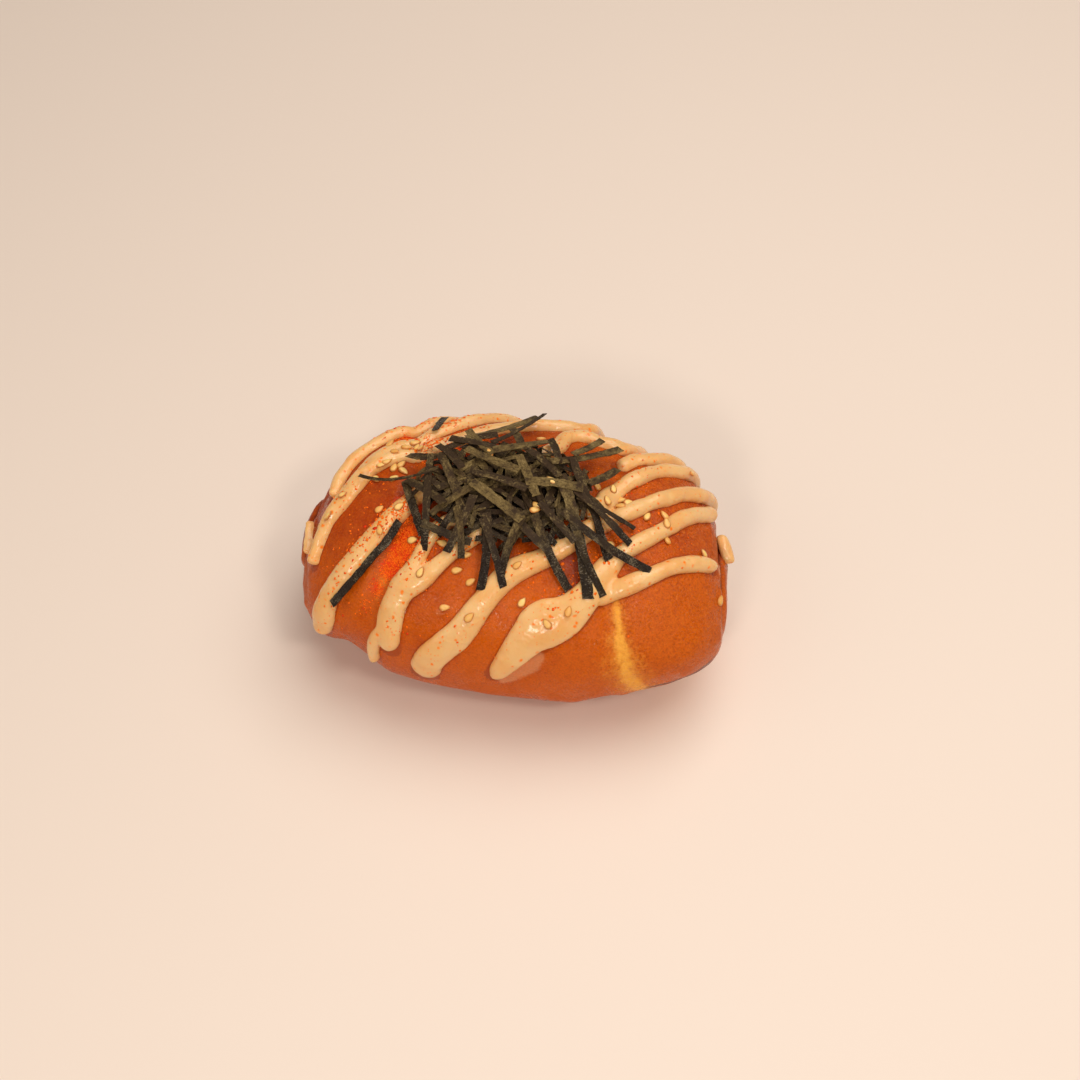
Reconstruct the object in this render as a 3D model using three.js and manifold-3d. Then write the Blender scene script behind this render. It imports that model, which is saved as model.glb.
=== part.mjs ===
// Pollock roe salt bread: a plump rolled bun with a piped drizzle, sesame seeds and a heap of nori shreds.
// Millimetres, +Z up. The bun rests on Z = 0, +X runs along the roll, and the front faces -Y.
//
// A place on the bun is given as x, the distance along the roll from its middle, and as around, the
// degrees round the roll's axis: 0 at the back, 90 on top, 180 at the front. lift is the height above
// the crust there.
import * as THREE from 'three';
import { mergeVertices } from 'three/addons/utils/BufferGeometryUtils.js';
import Module from 'manifold-3d';

const wasm = await Module();
wasm.setup();

// The bun
const HALF_WIDTH = 41.6;
const HEIGHT = 53;
const AXIS_HEIGHT = 22.5;
const UNDERSIDE_SINK = 3; // how much of the round underside baked flat
const SECTION_POWER = 2.15; // 2 is an ellipse, more is squarer
const SIDE_POWER = 2.3; // the same for the outline seen from the front
const BUN_STEPS_ALONG = 42;
const BUN_STEPS_AROUND = 28;

// Each end: its reach from the middle, how blunt its front and back are seen from above, and where the
// dough's edges lie on top. The seam parts the middle band from the outer band, and the rim is the lip
// of the outer band.
const LEFT_END = { reach: 61, frontPower: 2.5, backPower: 2.1, seam: 28, rim: 53.5 };
const RIGHT_END = { reach: 60, frontPower: 3.7, backPower: 2.3, seam: 25.5, rim: 56 };
const SEAM_SPREAD = 11; // the seams lie further out at the front and back than on top
const RIM_LEAN = 3.5; // the rims run round as a spiral, further out at the front
const SEAM_DEPTH = 1.4;
const SEAM_REACH = 5;
const SEAM_CLOSING = [150, 178]; // degrees round, between which the seams flatten out at the front
const SEAM_LEFT = 0.2; // the share of a seam's depth that is left below that
const RIM_DROP = 2.4;
const RIM_SOFTNESS = 1.6;
const RIGHT_RIM_FADE = [84, 112]; // degrees round, between which the right rim flattens out
const RIGHT_RIM_LEFT = 0.15;
const MIDDLE_SWELL = { height: 0.5, crest: 0.7, reach: 0.6 }; // crest and reach as shares of the seam's x
const OUTER_SWELL = 1.1;
const SHOULDER = { x: -55, around: 176, height: 2.4, reach: 12, spread: 40 };
const TUCKS = [ // where the dough draws in low at the front
  { x: 48.5, around: 189.5, depth: 4.2, reach: 14.5, spread: 30 },
  { x: 33.5, around: 193, depth: 2.4, reach: 14, spread: 30 },
  { x: -41, around: 190, depth: 2.2, reach: 12, spread: 24 },
];
const SLANT = { share: 0.07, start: 40, end: 59 }; // the right end's front corner stands out, per mm of Y
const LUMPS = { height: 0.35, along: 9, phase: 1.3, turns: 2.4, twist: 30 };
const RELIEF_FADE = [125, 160]; // degrees from the top between which the relief dies out
const AXIS_EASE = 12; // nearer to the roll's axis than this the relief shrinks too

// The drizzle: where the middle of each pass runs, as [x, around, width]
const DRIZZLE_HEIGHT = 2.6;
const DRIZZLE_ROOT = 0.9; // depth of a pass's underside below the crust
const DRIZZLE_END = 0.4; // height at the very end of a pass, as a share
const DRIZZLE_SIDES = 6;
const DRIZZLE_STEP = 5;
const DRIZZLE = {
  backLeft: [[-50.5, 92, 3], [-50, 74, 4.2], [-46, 54, 4.6], [-37, 40, 4.6], [-27, 27, 4.6], [-18, 2, 5.4]],
  leftEdge: [
    [-53, 146, 3.4], [-52, 130, 4], [-50, 111, 5], [-45, 88, 6.2], [-39, 67, 6], [-28, 50, 5.4],
    [-16, 34, 4.8], [-5, 15, 5], [-1, -8, 5.8],
  ],
  leftInner: [
    [-46, 86, 3], [-41, 76, 4.4], [-36, 68, 4.8], [-30, 64, 4.8], [-20, 58, 4.8], [-8, 44, 4.6],
    [3.5, 37, 4.8], [11, 32, 4.8], [15.5, 28, 4.8], [18, 14, 5], [19, 0, 5.6],
  ],
  frontLeft: [
    [-49.5, 179, 5.8], [-48.5, 169, 7], [-46, 153, 6.6], [-40, 134, 6.2], [-32, 111, 6], [-26, 96, 5.8],
    [-12, 78, 5.4], [4, 65, 5], [9, 56, 4.8], [11, 47, 5], [15.5, 42.5, 5], [20, 43, 5], [24.5, 42, 4.8],
    [28, 36, 4.8], [31, 22, 4.8], [32, 4, 5.2],
  ],
  frontSecond: [
    [-28.6, 170, 6.2], [-28.9, 160, 7], [-27.8, 151, 7.4], [-25.5, 142, 7.4], [-23, 131, 4.6],
    [-21, 122, 3.8], [-18, 114, 4.4], [-6, 99, 5.2], [6, 82, 5], [14, 72, 5],
  ],
  frontFinger: [[-32.8, 181, 3], [-33.4, 175, 3.4], [-32.6, 168, 3.6], [-29.5, 159, 3.6]],
  frontThird: [
    [-26, 145, 6], [-21, 138.5, 5.8], [-16.5, 130.5, 4.8], [-12, 122, 4.6], [-8, 116, 4.8],
    [4, 106, 5.2], [17, 96, 5.6], [23, 91, 6.2], [25, 82, 6], [28.5, 73, 5.2], [32, 65.5, 4.8],
    [36, 56, 4.6], [39, 49, 4.6], [43, 40, 4.6], [46.5, 24, 4.8], [47.5, 2, 5.4],
  ],
  frontFourth: [
    [-19, 180, 8], [-17, 170, 9], [-10, 158, 8], [-4, 144, 7], [2, 132, 6.6], [12, 122, 6], [18, 112, 6.2],
    [23, 103, 5.4], [29, 94.5, 4.8], [34.5, 85, 4.8], [38, 78, 4.8], [41, 71, 4.8], [44.5, 60.5, 4.8],
    [49, 46.5, 4.8], [52, 28, 4.8], [53, 10, 5],
  ],
  frontFifth: [
    [0, 174, 4.8], [4, 165, 7], [8, 157, 10], [12, 151, 13], [18, 146, 11], [22, 139, 9], [25, 131, 7.6],
    [27.5, 123.5, 6.4], [30, 118, 5.4], [33, 112.5, 5], [36, 107, 5], [39.5, 100, 5], [42, 93.5, 4.8],
    [44.5, 84.5, 4.8], [48, 73, 4.8], [51.5, 59, 4.8], [53.5, 46, 4.8],
  ],
  rightEdge: [
    [24, 139, 6], [30.5, 134, 5.6], [34, 131, 5.2], [38.5, 126.5, 4.8], [43, 121, 4.8], [46.5, 117, 4.8],
    [50.5, 113.5, 4.8], [55, 111.5, 4.2],
  ],
  rightStart: [[26.5, 57, 5], [30, 49, 5.4], [34, 44, 5.2], [38, 36, 4.8], [42, 24, 4.8], [43.5, 8, 5]],
  rightDrip: [[55.8, 46, 3.2], [57.8, 46, 5], [58.8, 52, 3.8], [59.2, 59, 2.2]],
  leftDrip: [[-57, 107, 2], [-56.4, 122, 2.2], [-55.4, 143, 1.6]],
};

// Sesame seeds: groups as [x, around, how many, how far they scatter in millimetres]
const SEED = { length: 3.4, width: 2.1, thickness: 1.4 };
const SEED_SIDES = 5;
const SEED_STEPS = 3;
const SEED_SINK = 0.1;
const DEGREES_PER_MM = 1.6; // round the upper crust
const SEED_GROUPS = [
  [-31, 60, 4, 3.2], [-34, 74, 4, 2.6], [-38.5, 80, 2, 3], [-46, 76, 1, 0], [-46, 97, 1, 0],
  [-49, 112, 1, 0], [-53, 116, 1, 0], [-36, 106, 1, 0], [-34, 119, 1, 0], [-21, 136, 1, 0], [-16, 128, 2, 3],
  [-9, 134, 2, 2.4], [-13, 148, 1, 0], [-7, 150, 1, 0], [6.2, 142.6, 1, 0], [17, 146, 2, 2.8],
  [28, 86, 3, 2.6], [36, 90, 1, 0], [41, 95, 1, 0], [43, 103, 1, 0], [53, 104, 1, 0], [57, 142, 1, 0],
];
const SEEDS_ON_NORI = [[-8, 78], [-3, 90], [10, 90], [7, 103]];

// Nori: each shred runs from [x, around] to [x, around], with its lift above the crust at both ends
const SHRED_WIDTH = 2.6;
const SHRED_THICKNESS = 0.5;
const SHRED_STEP = 6;
const SHRED_REACH = 2.8; // how far beside a pass of the drizzle a shred already rides up
const SHRED_CLEARANCE = 0.75; // from the middle of a shred to the drizzle or crust under it
const HEAP = { x: -2, around: 92, halfLength: 24, halfSpread: 31, bottom: 3.7, height: 3.6, lump: 0.6 };
const HEAP_SIDES = 14;
const HEAP_STEPS = 8;
const HEAP_SHREDS = [
  [-15, 67, 2, 42, 6.4, 4.5, 2.8], [-8, 70, 4, 43, 6.8, 6, 1.8], [-20, 74, -7, 63, 5.5, 6, 2.4],
  [-22, 71, -14, 89, 5.5, 7.8, 2.6], [-15, 61, -7, 79, 6, 8.3, 2.6], [-4, 54, 1, 74, 4.4, 8, 2.6],
  [-7, 77, 7, 66, 8.4, 7.2, 2.8], [7, 59, 11, 80, 4.5, 7.8, 2.4], [9, 80, 24, 54.5, 8.4, 5, 2.6],
  [14, 74, 27, 122, 7, 1.6, 2.8], [-21, 77, -11, 116, 5.8, 6, 2.8], [-20, 112, -10, 98, 5, 8.2, 2.6],
  [-14, 77, 1, 87, 7.8, 8.6, 2.6], [-11, 97, 4, 112, 8.6, 7.6, 3.2], [0, 78, 7, 100, 8.4, 8.4, 2.8],
  [1, 72, 12, 88, 7.8, 8.2, 2.4], [3, 93, 18, 92, 8.6, 7.4, 3], [-11, 91, 4, 97, 8.5, 8.6, 3],
  [-31, 90, -17, 108, 3.8, 7, 2.8], [-31, 91, -22, 120, 4, 1.6, 2.8], [-23, 78, -21, 127, 5.5, 1.4, 2.6],
  [-6, 110, -5, 140, 7, 1.2, 2.8], [-7, 112, 1, 138, 6.6, 1.2, 2.4], [4, 110, 0, 134, 7, 1.4, 2.6],
  [7, 108, 18, 136, 7, 1.4, 2.8], [12, 86, 23, 139, 7.6, 1.4, 3.6], [18, 112, 26, 138, 4.8, 1.2, 2.6],
  [14, 104, 38, 125, 6, 1.4, 2.6], [16, 93, 32, 113, 6, 1.6, 2.4], [17, 96, 33, 102, 6, 1.2, 1.6],
  [19, 86, 24.5, 68, 5.5, 4.5, 2.6], [14, 72, 20.5, 53, 7, 4.5, 2.4], [-32, 72, -21, 80, 3.6, 6, 2.6],
  [-42, 86, -20, 88, 3.6, 6, 1.4], [-22, 116, -9, 122, 4.6, 4.2, 2.6], [-10, 103, -15, 127, 8, 3.4, 2.6],
  [-14, 108, -11, 129, 6.4, 3.4, 2.4], [4, 113, 12, 122, 6, 4, 2.6], [-19, 68, -5, 75, 6.4, 8, 2.4],
  [8, 103, 18, 117, 8, 4.6, 2.6],
];
// The shreds between those: how many, how far out they spread, half their length and how that varies,
// and how far their ends dip into the heap and stand out of it
const FILLING = { count: 10, spread: 0.8, half: 7.5, vary: 2, dip: 0.6, rise: 1 };
const FRONT_SHRED = [-44, 157, -28, 115, 0, 0, 2.8];
const BACK_SHRED = [-24, 38, -25, 52, 0, 0, 2.4];

// Brings the middle of the whole over the origin
const CENTRE_SHIFT = new THREE.Vector3(0.12, -0.16, 0);

const RADIANS = Math.PI / 180;
const WHOLE_TURN = 360;
const TOP = 90;
const UNDERNEATH = 270;
const GOLDEN_ANGLE = Math.PI * (3 - Math.sqrt(5));
const SLOPE_STEP = 0.5; // how far to both sides the crust's slope is read
const PATH_STEP = 0.01; // the same along a pass of the drizzle, as a share of its length
const PATH_SAMPLES = 8; // between two named places of a pass
const DRAW_FACTOR = 16807;
const DRAW_RANGE = 2147483647;

let draw = 20;
// A repeatable draw between -1 and 1
function scatter() {
  draw = (draw * DRAW_FACTOR) % DRAW_RANGE;
  return (draw / DRAW_RANGE) * 2 - 1;
}

// A smooth hill, 1 high in the middle and gone at -1 and 1
function hill(t) {
  return Math.max(0, 1 - t * t) ** 2;
}

function superEllipse(t, power) {
  return Math.max(0, 1 - t ** power) ** (1 / power);
}

// How far the crust stands proud of the plain rounded form
function relief(x, around) {
  const end = x < 0 ? LEFT_END : RIGHT_END;
  const out = Math.abs(x);
  const lean = (around - TOP) / TOP;
  const seam = end.seam + SEAM_SPREAD * lean * lean;
  const rim = end.rim + RIM_LEAN * lean;
  const closed = THREE.MathUtils.smoothstep(around, ...SEAM_CLOSING);
  const groove = SEAM_DEPTH * hill((out - seam) / SEAM_REACH) * (1 - (1 - SEAM_LEFT) * closed);
  const middle = MIDDLE_SWELL.height * hill((out / seam - MIDDLE_SWELL.crest) / MIDDLE_SWELL.reach);
  const outer = OUTER_SWELL * hill((2 * out - seam - rim) / (rim - seam));
  const faded = x > 0 ? THREE.MathUtils.smoothstep(around, ...RIGHT_RIM_FADE) : 0;
  const step = RIM_DROP * (1 - (1 - RIGHT_RIM_LEFT) * faded)
    * THREE.MathUtils.smoothstep(out, rim - RIM_SOFTNESS, rim + RIM_SOFTNESS);
  const shoulder = SHOULDER.height * hill((x - SHOULDER.x) / SHOULDER.reach)
    * hill((around - SHOULDER.around) / SHOULDER.spread);
  const tucks = TUCKS.reduce((sum, tuck) => sum
    + tuck.depth * hill((x - tuck.x) / tuck.reach) * hill((around - tuck.around) / tuck.spread), 0);
  const lumps = LUMPS.height * Math.sin(x / LUMPS.along + LUMPS.phase)
    * Math.sin(LUMPS.turns * around * RADIANS + x / LUMPS.twist);
  const shown = 1 - THREE.MathUtils.smoothstep(Math.abs(around - TOP), ...RELIEF_FADE);
  return (middle + outer + shoulder + lumps - groove - step - tucks) * shown;
}

// A point of the crust
function onCrust(x, around) {
  const end = x < 0 ? LEFT_END : RIGHT_END;
  const out = Math.min(1, Math.abs(x) / end.reach);
  const across = Math.cos(around * RADIANS);
  const upward = Math.sin(around * RADIANS);
  const halfHeight = upward < 0 ? AXIS_HEIGHT + UNDERSIDE_SINK : HEIGHT - AXIS_HEIGHT;
  const width = HALF_WIDTH * superEllipse(out, across < 0 ? end.frontPower : end.backPower);
  const rise = halfHeight * superEllipse(out, SIDE_POWER);
  if (width <= 0 || rise <= 0) return new THREE.Vector3(x, 0, AXIS_HEIGHT);
  const spread = (Math.abs(across) / width) ** SECTION_POWER + (Math.abs(upward) / rise) ** SECTION_POWER;
  const plain = spread ** (-1 / SECTION_POWER);
  const turn = around > UNDERNEATH ? around - WHOLE_TURN : around;
  const radius = plain + relief(x, turn) * Math.min(1, plain / AXIS_EASE);
  const slant = SLANT.share * THREE.MathUtils.smoothstep(x, SLANT.start, SLANT.end);
  const forward = Math.max(0, -radius * across);
  return new THREE.Vector3(x + slant * forward, radius * across, Math.max(0, AXIS_HEIGHT + radius * upward));
}

// The outward direction of the crust at a place
function outward(x, around) {
  const inside = THREE.MathUtils.clamp(x, 1 - LEFT_END.reach, RIGHT_END.reach - 1);
  const along = onCrust(inside + SLOPE_STEP, around).sub(onCrust(inside - SLOPE_STEP, around));
  const round = onCrust(inside, around + SLOPE_STEP).sub(onCrust(inside, around - SLOPE_STEP));
  return round.cross(along).normalize();
}

function aboveCrust(x, around, lift) {
  return onCrust(x, around).addScaledVector(outward(x, around), lift);
}

// A closed body from a sphere whose points are moved one by one; place gets the unit direction
function shapedSphere(sides, steps, place) {
  const sphere = new THREE.SphereGeometry(1, sides, steps);
  sphere.deleteAttribute('normal');
  sphere.deleteAttribute('uv');
  const body = mergeVertices(sphere);
  const corners = body.getAttribute('position');
  const corner = new THREE.Vector3();
  for (let i = 0; i < corners.count; i++) {
    corners.setXYZ(i, ...place(corner.fromBufferAttribute(corners, i)));
  }
  return body;
}

// A closed body through rings of points, with both of its broad faces split alike
function loft(rings) {
  const count = rings[0].length;
  const faces = [];
  for (let i = 0; i + 1 < rings.length; i++) {
    for (let k = 0; k < count; k++) {
      const here = i * count + k;
      const beside = i * count + ((k + 1) % count);
      const next = here + count;
      const diagonal = beside + count;
      if (k < count / 2) faces.push(here, beside, next, beside, diagonal, next);
      else faces.push(here, beside, diagonal, here, diagonal, next);
    }
  }
  const last = (rings.length - 1) * count;
  for (let k = 1; k + 1 < count; k++) {
    faces.push(0, k + 1, k, last, last + k, last + k + 1);
  }
  const body = new THREE.BufferGeometry().setFromPoints(rings.flat());
  body.setIndex(faces);
  return body;
}

function solidOf(geometry) {
  const merged = mergeVertices(geometry);
  return new wasm.Manifold(new wasm.Mesh({
    numProp: 3,
    vertProperties: new Float32Array(merged.getAttribute('position').array),
    triVerts: new Uint32Array(merged.getIndex().array),
  }));
}

function geometryOf(solid) {
  const mesh = solid.getMesh();
  const geometry = new THREE.BufferGeometry();
  geometry.setAttribute('position', new THREE.BufferAttribute(mesh.vertProperties, 3));
  geometry.setIndex(new THREE.BufferAttribute(mesh.triVerts, 1));
  geometry.computeVertexNormals();
  return geometry;
}

function joined(geometries) {
  return geometries.map(solidOf).reduce((whole, piece) => whole.add(piece));
}

// The largest body of a solid, without any scrap that doesn't touch it
function largest(solid) {
  return solid.decompose().reduce((best, piece) => (piece.volume() > best.volume() ? piece : best));
}

function bun() {
  return shapedSphere(BUN_STEPS_AROUND, BUN_STEPS_ALONG, (direction) => {
    const around = Math.atan2(direction.x, direction.z) / RADIANS;
    const reach = direction.y < 0 ? LEFT_END.reach : RIGHT_END.reach;
    return onCrust(reach * direction.y, (around + WHOLE_TURN) % WHOLE_TURN);
  });
}

// The middle line of one pass of the drizzle, with its length in millimetres
function drizzlePath(places) {
  const points = places.map((place) => new THREE.Vector3(...place));
  const curve = new THREE.CatmullRomCurve3(points, false, 'centripetal');
  const samples = curve.getPoints(PATH_SAMPLES * places.length);
  const onBun = samples.map((sample) => onCrust(sample.x, sample.y));
  const length = onBun.slice(1).reduce((sum, point, i) => sum + point.distanceTo(onBun[i]), 0);
  return { curve, samples, length };
}

const DRIZZLE_PATHS = Object.values(DRIZZLE).map(drizzlePath);

// One pass of the drizzle: a flattened rope with round ends, rooted in the crust
function drizzlePass({ curve, length }) {
  const steps = Math.round(length / DRIZZLE_STEP);
  return shapedSphere(DRIZZLE_SIDES, steps, (direction) => {
    const t = THREE.MathUtils.clamp((1 + direction.y) / 2, 0, 1);
    const here = curve.getPoint(t);
    const before = curve.getPoint(Math.max(0, t - PATH_STEP));
    const after = curve.getPoint(Math.min(1, t + PATH_STEP));
    const along = onCrust(after.x, after.y).sub(onCrust(before.x, before.y)).normalize();
    const normal = outward(here.x, here.y);
    const side = along.clone().cross(normal).normalize();
    const fromEnd = Math.min(1, (Math.min(t, 1 - t) * length) / (here.z / 2));
    const round = Math.sqrt(1 - (1 - fromEnd) ** 2);
    const turn = Math.atan2(direction.z, direction.x);
    const high = Math.sin(turn) > 0 ? DRIZZLE_HEIGHT : DRIZZLE_ROOT;
    return onCrust(here.x, here.y)
      .addScaledVector(side, (here.z / 2) * Math.cos(turn) * round)
      .addScaledVector(normal, high * Math.sin(turn) * (DRIZZLE_END + (1 - DRIZZLE_END) * round));
  });
}

// How thick the drizzle is at a place, spread by reach past its edge
function drizzleAt(x, around, reach) {
  const place = onCrust(x, around);
  let thick = 0;
  for (const { samples } of DRIZZLE_PATHS) {
    for (const sample of samples) {
      const gap = place.distanceTo(onCrust(sample.x, sample.y)) / (sample.z / 2 + reach);
      if (gap < 1) thick = Math.max(thick, DRIZZLE_HEIGHT * Math.sqrt(1 - gap * gap));
    }
  }
  return thick;
}

function seed(x, around, lift) {
  const centre = aboveCrust(x, around, lift);
  const normal = outward(x, around);
  const heading = Math.PI * scatter();
  const along = new THREE.Vector3(Math.cos(heading), Math.sin(heading), 0);
  along.addScaledVector(normal, -along.dot(normal)).normalize();
  const side = along.clone().cross(normal);
  return shapedSphere(SEED_SIDES, SEED_STEPS, (direction) => centre.clone()
    .addScaledVector(side, (direction.x * SEED.width) / 2)
    .addScaledVector(along, (direction.y * SEED.length) / 2)
    .addScaledVector(normal, (direction.z * SEED.thickness) / 2));
}

function seeds() {
  return SEED_GROUPS.flatMap(([x, around, count, spread]) => Array.from({ length: count }, () => {
    const seedX = x + spread * scatter();
    const seedAround = around + spread * DEGREES_PER_MM * scatter();
    return seed(seedX, seedAround, drizzleAt(seedX, seedAround, 0) + SEED_SINK);
  }));
}

// A flat shred that bends over what lies under it
function shred([x1, around1, x2, around2, lift1, lift2, width]) {
  const length = onCrust(x1, around1).distanceTo(onCrust(x2, around2));
  const steps = Math.max(2, Math.round(length / SHRED_STEP));
  const middle = Array.from({ length: steps + 1 }, (_, i) => {
    const t = i / steps;
    const x = THREE.MathUtils.lerp(x1, x2, t);
    const around = THREE.MathUtils.lerp(around1, around2, t);
    const lowest = drizzleAt(x, around, SHRED_REACH) + SHRED_CLEARANCE;
    const lift = Math.max(lowest, THREE.MathUtils.lerp(lift1, lift2, t));
    return { point: aboveCrust(x, around, lift), normal: outward(x, around) };
  });
  return loft(middle.map(({ point, normal }, i) => {
    const before = middle[Math.max(0, i - 1)].point;
    const after = middle[Math.min(steps, i + 1)].point;
    const along = after.clone().sub(before).normalize();
    const side = along.clone().cross(normal).normalize();
    const flat = side.clone().cross(along);
    const corner = (right, up) => point.clone()
      .addScaledVector(side, (right * width) / 2)
      .addScaledVector(flat, (up * SHRED_THICKNESS) / 2);
    return [corner(-1, 1), corner(1, 1), corner(1, -1), corner(-1, -1)];
  }));
}

// The dark tangle under the shreds that show
function heapCore() {
  return shapedSphere(HEAP_SIDES, HEAP_STEPS, (direction) => {
    const x = HEAP.x + HEAP.halfLength * direction.x;
    const around = HEAP.around - HEAP.halfSpread * direction.y;
    const dome = Math.sqrt(Math.max(0, direction.z)) * (HEAP.height + HEAP.lump * scatter());
    return aboveCrust(x, around, HEAP.bottom + dome);
  });
}

// Shreds spread evenly over the tangle, in a spiral, each turned its own way
function fillingShreds() {
  return Array.from({ length: FILLING.count }, (_, i) => {
    const far = FILLING.spread * Math.sqrt((i + 0.5) / FILLING.count);
    const x = HEAP.x + far * HEAP.halfLength * Math.cos(GOLDEN_ANGLE * i);
    const around = HEAP.around + far * HEAP.halfSpread * Math.sin(GOLDEN_ANGLE * i);
    const heading = Math.PI * scatter();
    const half = FILLING.half + FILLING.vary * scatter();
    const reachX = half * Math.cos(heading);
    const reachAround = half * DEGREES_PER_MM * Math.sin(heading);
    const top = HEAP.bottom + HEAP.height * Math.sqrt(1 - far * far);
    return [
      x - reachX, around - reachAround, x + reachX, around + reachAround,
      top - FILLING.dip, top + FILLING.rise, SHRED_WIDTH,
    ];
  });
}

const crust = new THREE.MeshStandardMaterial({ color: '#b75b22', roughness: 0.35, metalness: 0 });
const nori = new THREE.MeshStandardMaterial({ color: '#39342a', roughness: 0.6, metalness: 0 });

function piece(name, solid, material) {
  const mesh = new THREE.Mesh(geometryOf(solid), material);
  mesh.name = name;
  return mesh;
}

const dressedBun = largest(joined([bun(), ...DRIZZLE_PATHS.map(drizzlePass), ...seeds()]));
const heapTop = HEAP.bottom + HEAP.height + FILLING.rise;
const heapSeeds = SEEDS_ON_NORI.map(([x, around]) => seed(x, around, heapTop));
const heapShreds = [...HEAP_SHREDS, ...fillingShreds()].map(shred);
const heap = largest(joined([heapCore(), ...heapShreds, ...heapSeeds]));

const bread = new THREE.Group();
bread.position.copy(CENTRE_SHIFT);
bread.add(piece('bread', dressedBun, crust));
bread.add(piece('nori_heap', heap, nori));
bread.add(piece('nori_strip_front', solidOf(shred(FRONT_SHRED)), nori));
bread.add(piece('nori_strip_back', solidOf(shred(BACK_SHRED)), nori));

export default bread;
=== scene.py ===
"""Pollock roe salt bread: the roll, its drizzle, seeds, chili and nori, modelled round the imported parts.

A place on the roll is x, the distance along it from its middle, and around, the degrees round its axis:
0 at the back, 90 on top, 180 at the front. lift is the height above the crust there. Lengths in this file
are millimetres, and a mesh gets them in metres.
"""

import math

import bpy
import numpy as np
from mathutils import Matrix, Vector, noise
from mathutils.bvhtree import BVHTree


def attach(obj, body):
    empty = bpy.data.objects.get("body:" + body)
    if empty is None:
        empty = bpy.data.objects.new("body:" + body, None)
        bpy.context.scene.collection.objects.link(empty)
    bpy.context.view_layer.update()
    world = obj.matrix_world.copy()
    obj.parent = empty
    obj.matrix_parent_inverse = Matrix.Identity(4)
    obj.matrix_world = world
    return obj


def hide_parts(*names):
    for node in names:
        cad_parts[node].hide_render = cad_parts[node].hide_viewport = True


bl_info = {
    "name": "Pollock Roe Salt Bread",
    "version": (1, 0, 0),
    "blender": (4, 5, 0),
    "location": "3D View > Sidebar > Salt Bread",
    "description": "Models a glossy bread roll with piped drizzle, sesame, chili and shredded nori",
    "category": "Add Mesh",
}

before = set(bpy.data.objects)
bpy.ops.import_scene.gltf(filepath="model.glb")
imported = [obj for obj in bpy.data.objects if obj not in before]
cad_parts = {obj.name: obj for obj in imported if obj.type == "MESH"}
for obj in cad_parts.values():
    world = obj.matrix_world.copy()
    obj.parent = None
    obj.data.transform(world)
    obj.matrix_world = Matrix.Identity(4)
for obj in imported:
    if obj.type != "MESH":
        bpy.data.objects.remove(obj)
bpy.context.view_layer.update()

MM = 0.001
TOP = 90
WHOLE_TURN = 360

# The roll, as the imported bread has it
HALF_WIDTH = 41.6
HEIGHT = 53
AXIS_HEIGHT = 22.5
UNDERSIDE_SINK = 3
SECTION_POWER = 2.15
SIDE_POWER = 2.3
LEFT_END = {"reach": 61, "front": 2.5, "back": 2.1, "seam": 28, "rim": 53.5}
RIGHT_END = {"reach": 60, "front": 3.7, "back": 2.3, "seam": 25.5, "rim": 56}
SEAM_SPREAD = 11
RIM_LEAN = 3.5
SEAM_DEPTH = 1.4
SEAM_REACH = 5
SEAM_CLOSING = (150, 178)
SEAM_KEPT = 0.2
RIM_DROP = 2.4
RIM_SOFTNESS = 1.6
RIGHT_RIM_FADE = (84, 112)
RIGHT_RIM_KEPT = 0.15
MIDDLE_SWELL = {"height": 0.5, "crest": 0.7, "reach": 0.6}
OUTER_SWELL = 1.1
SHOULDER = {"x": -55, "around": 176, "height": 2.4, "reach": 12, "spread": 40}
TUCKS = [(48.5, 189.5, 14.5, 30, 4.2), (33.5, 193, 14, 30, 2.4), (-41, 190, 12, 24, 2.2)]
SLANT = {"share": 0.07, "start": 40, "end": 59}
LUMPS = {"height": 0.35, "along": 9, "phase": 1.3, "turns": 2.4, "twist": 30}
RELIEF_FADE = (125, 160)
AXIS_EASE = 12
CENTRE_SHIFT = np.array([0.12, -0.16, 0])

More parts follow.
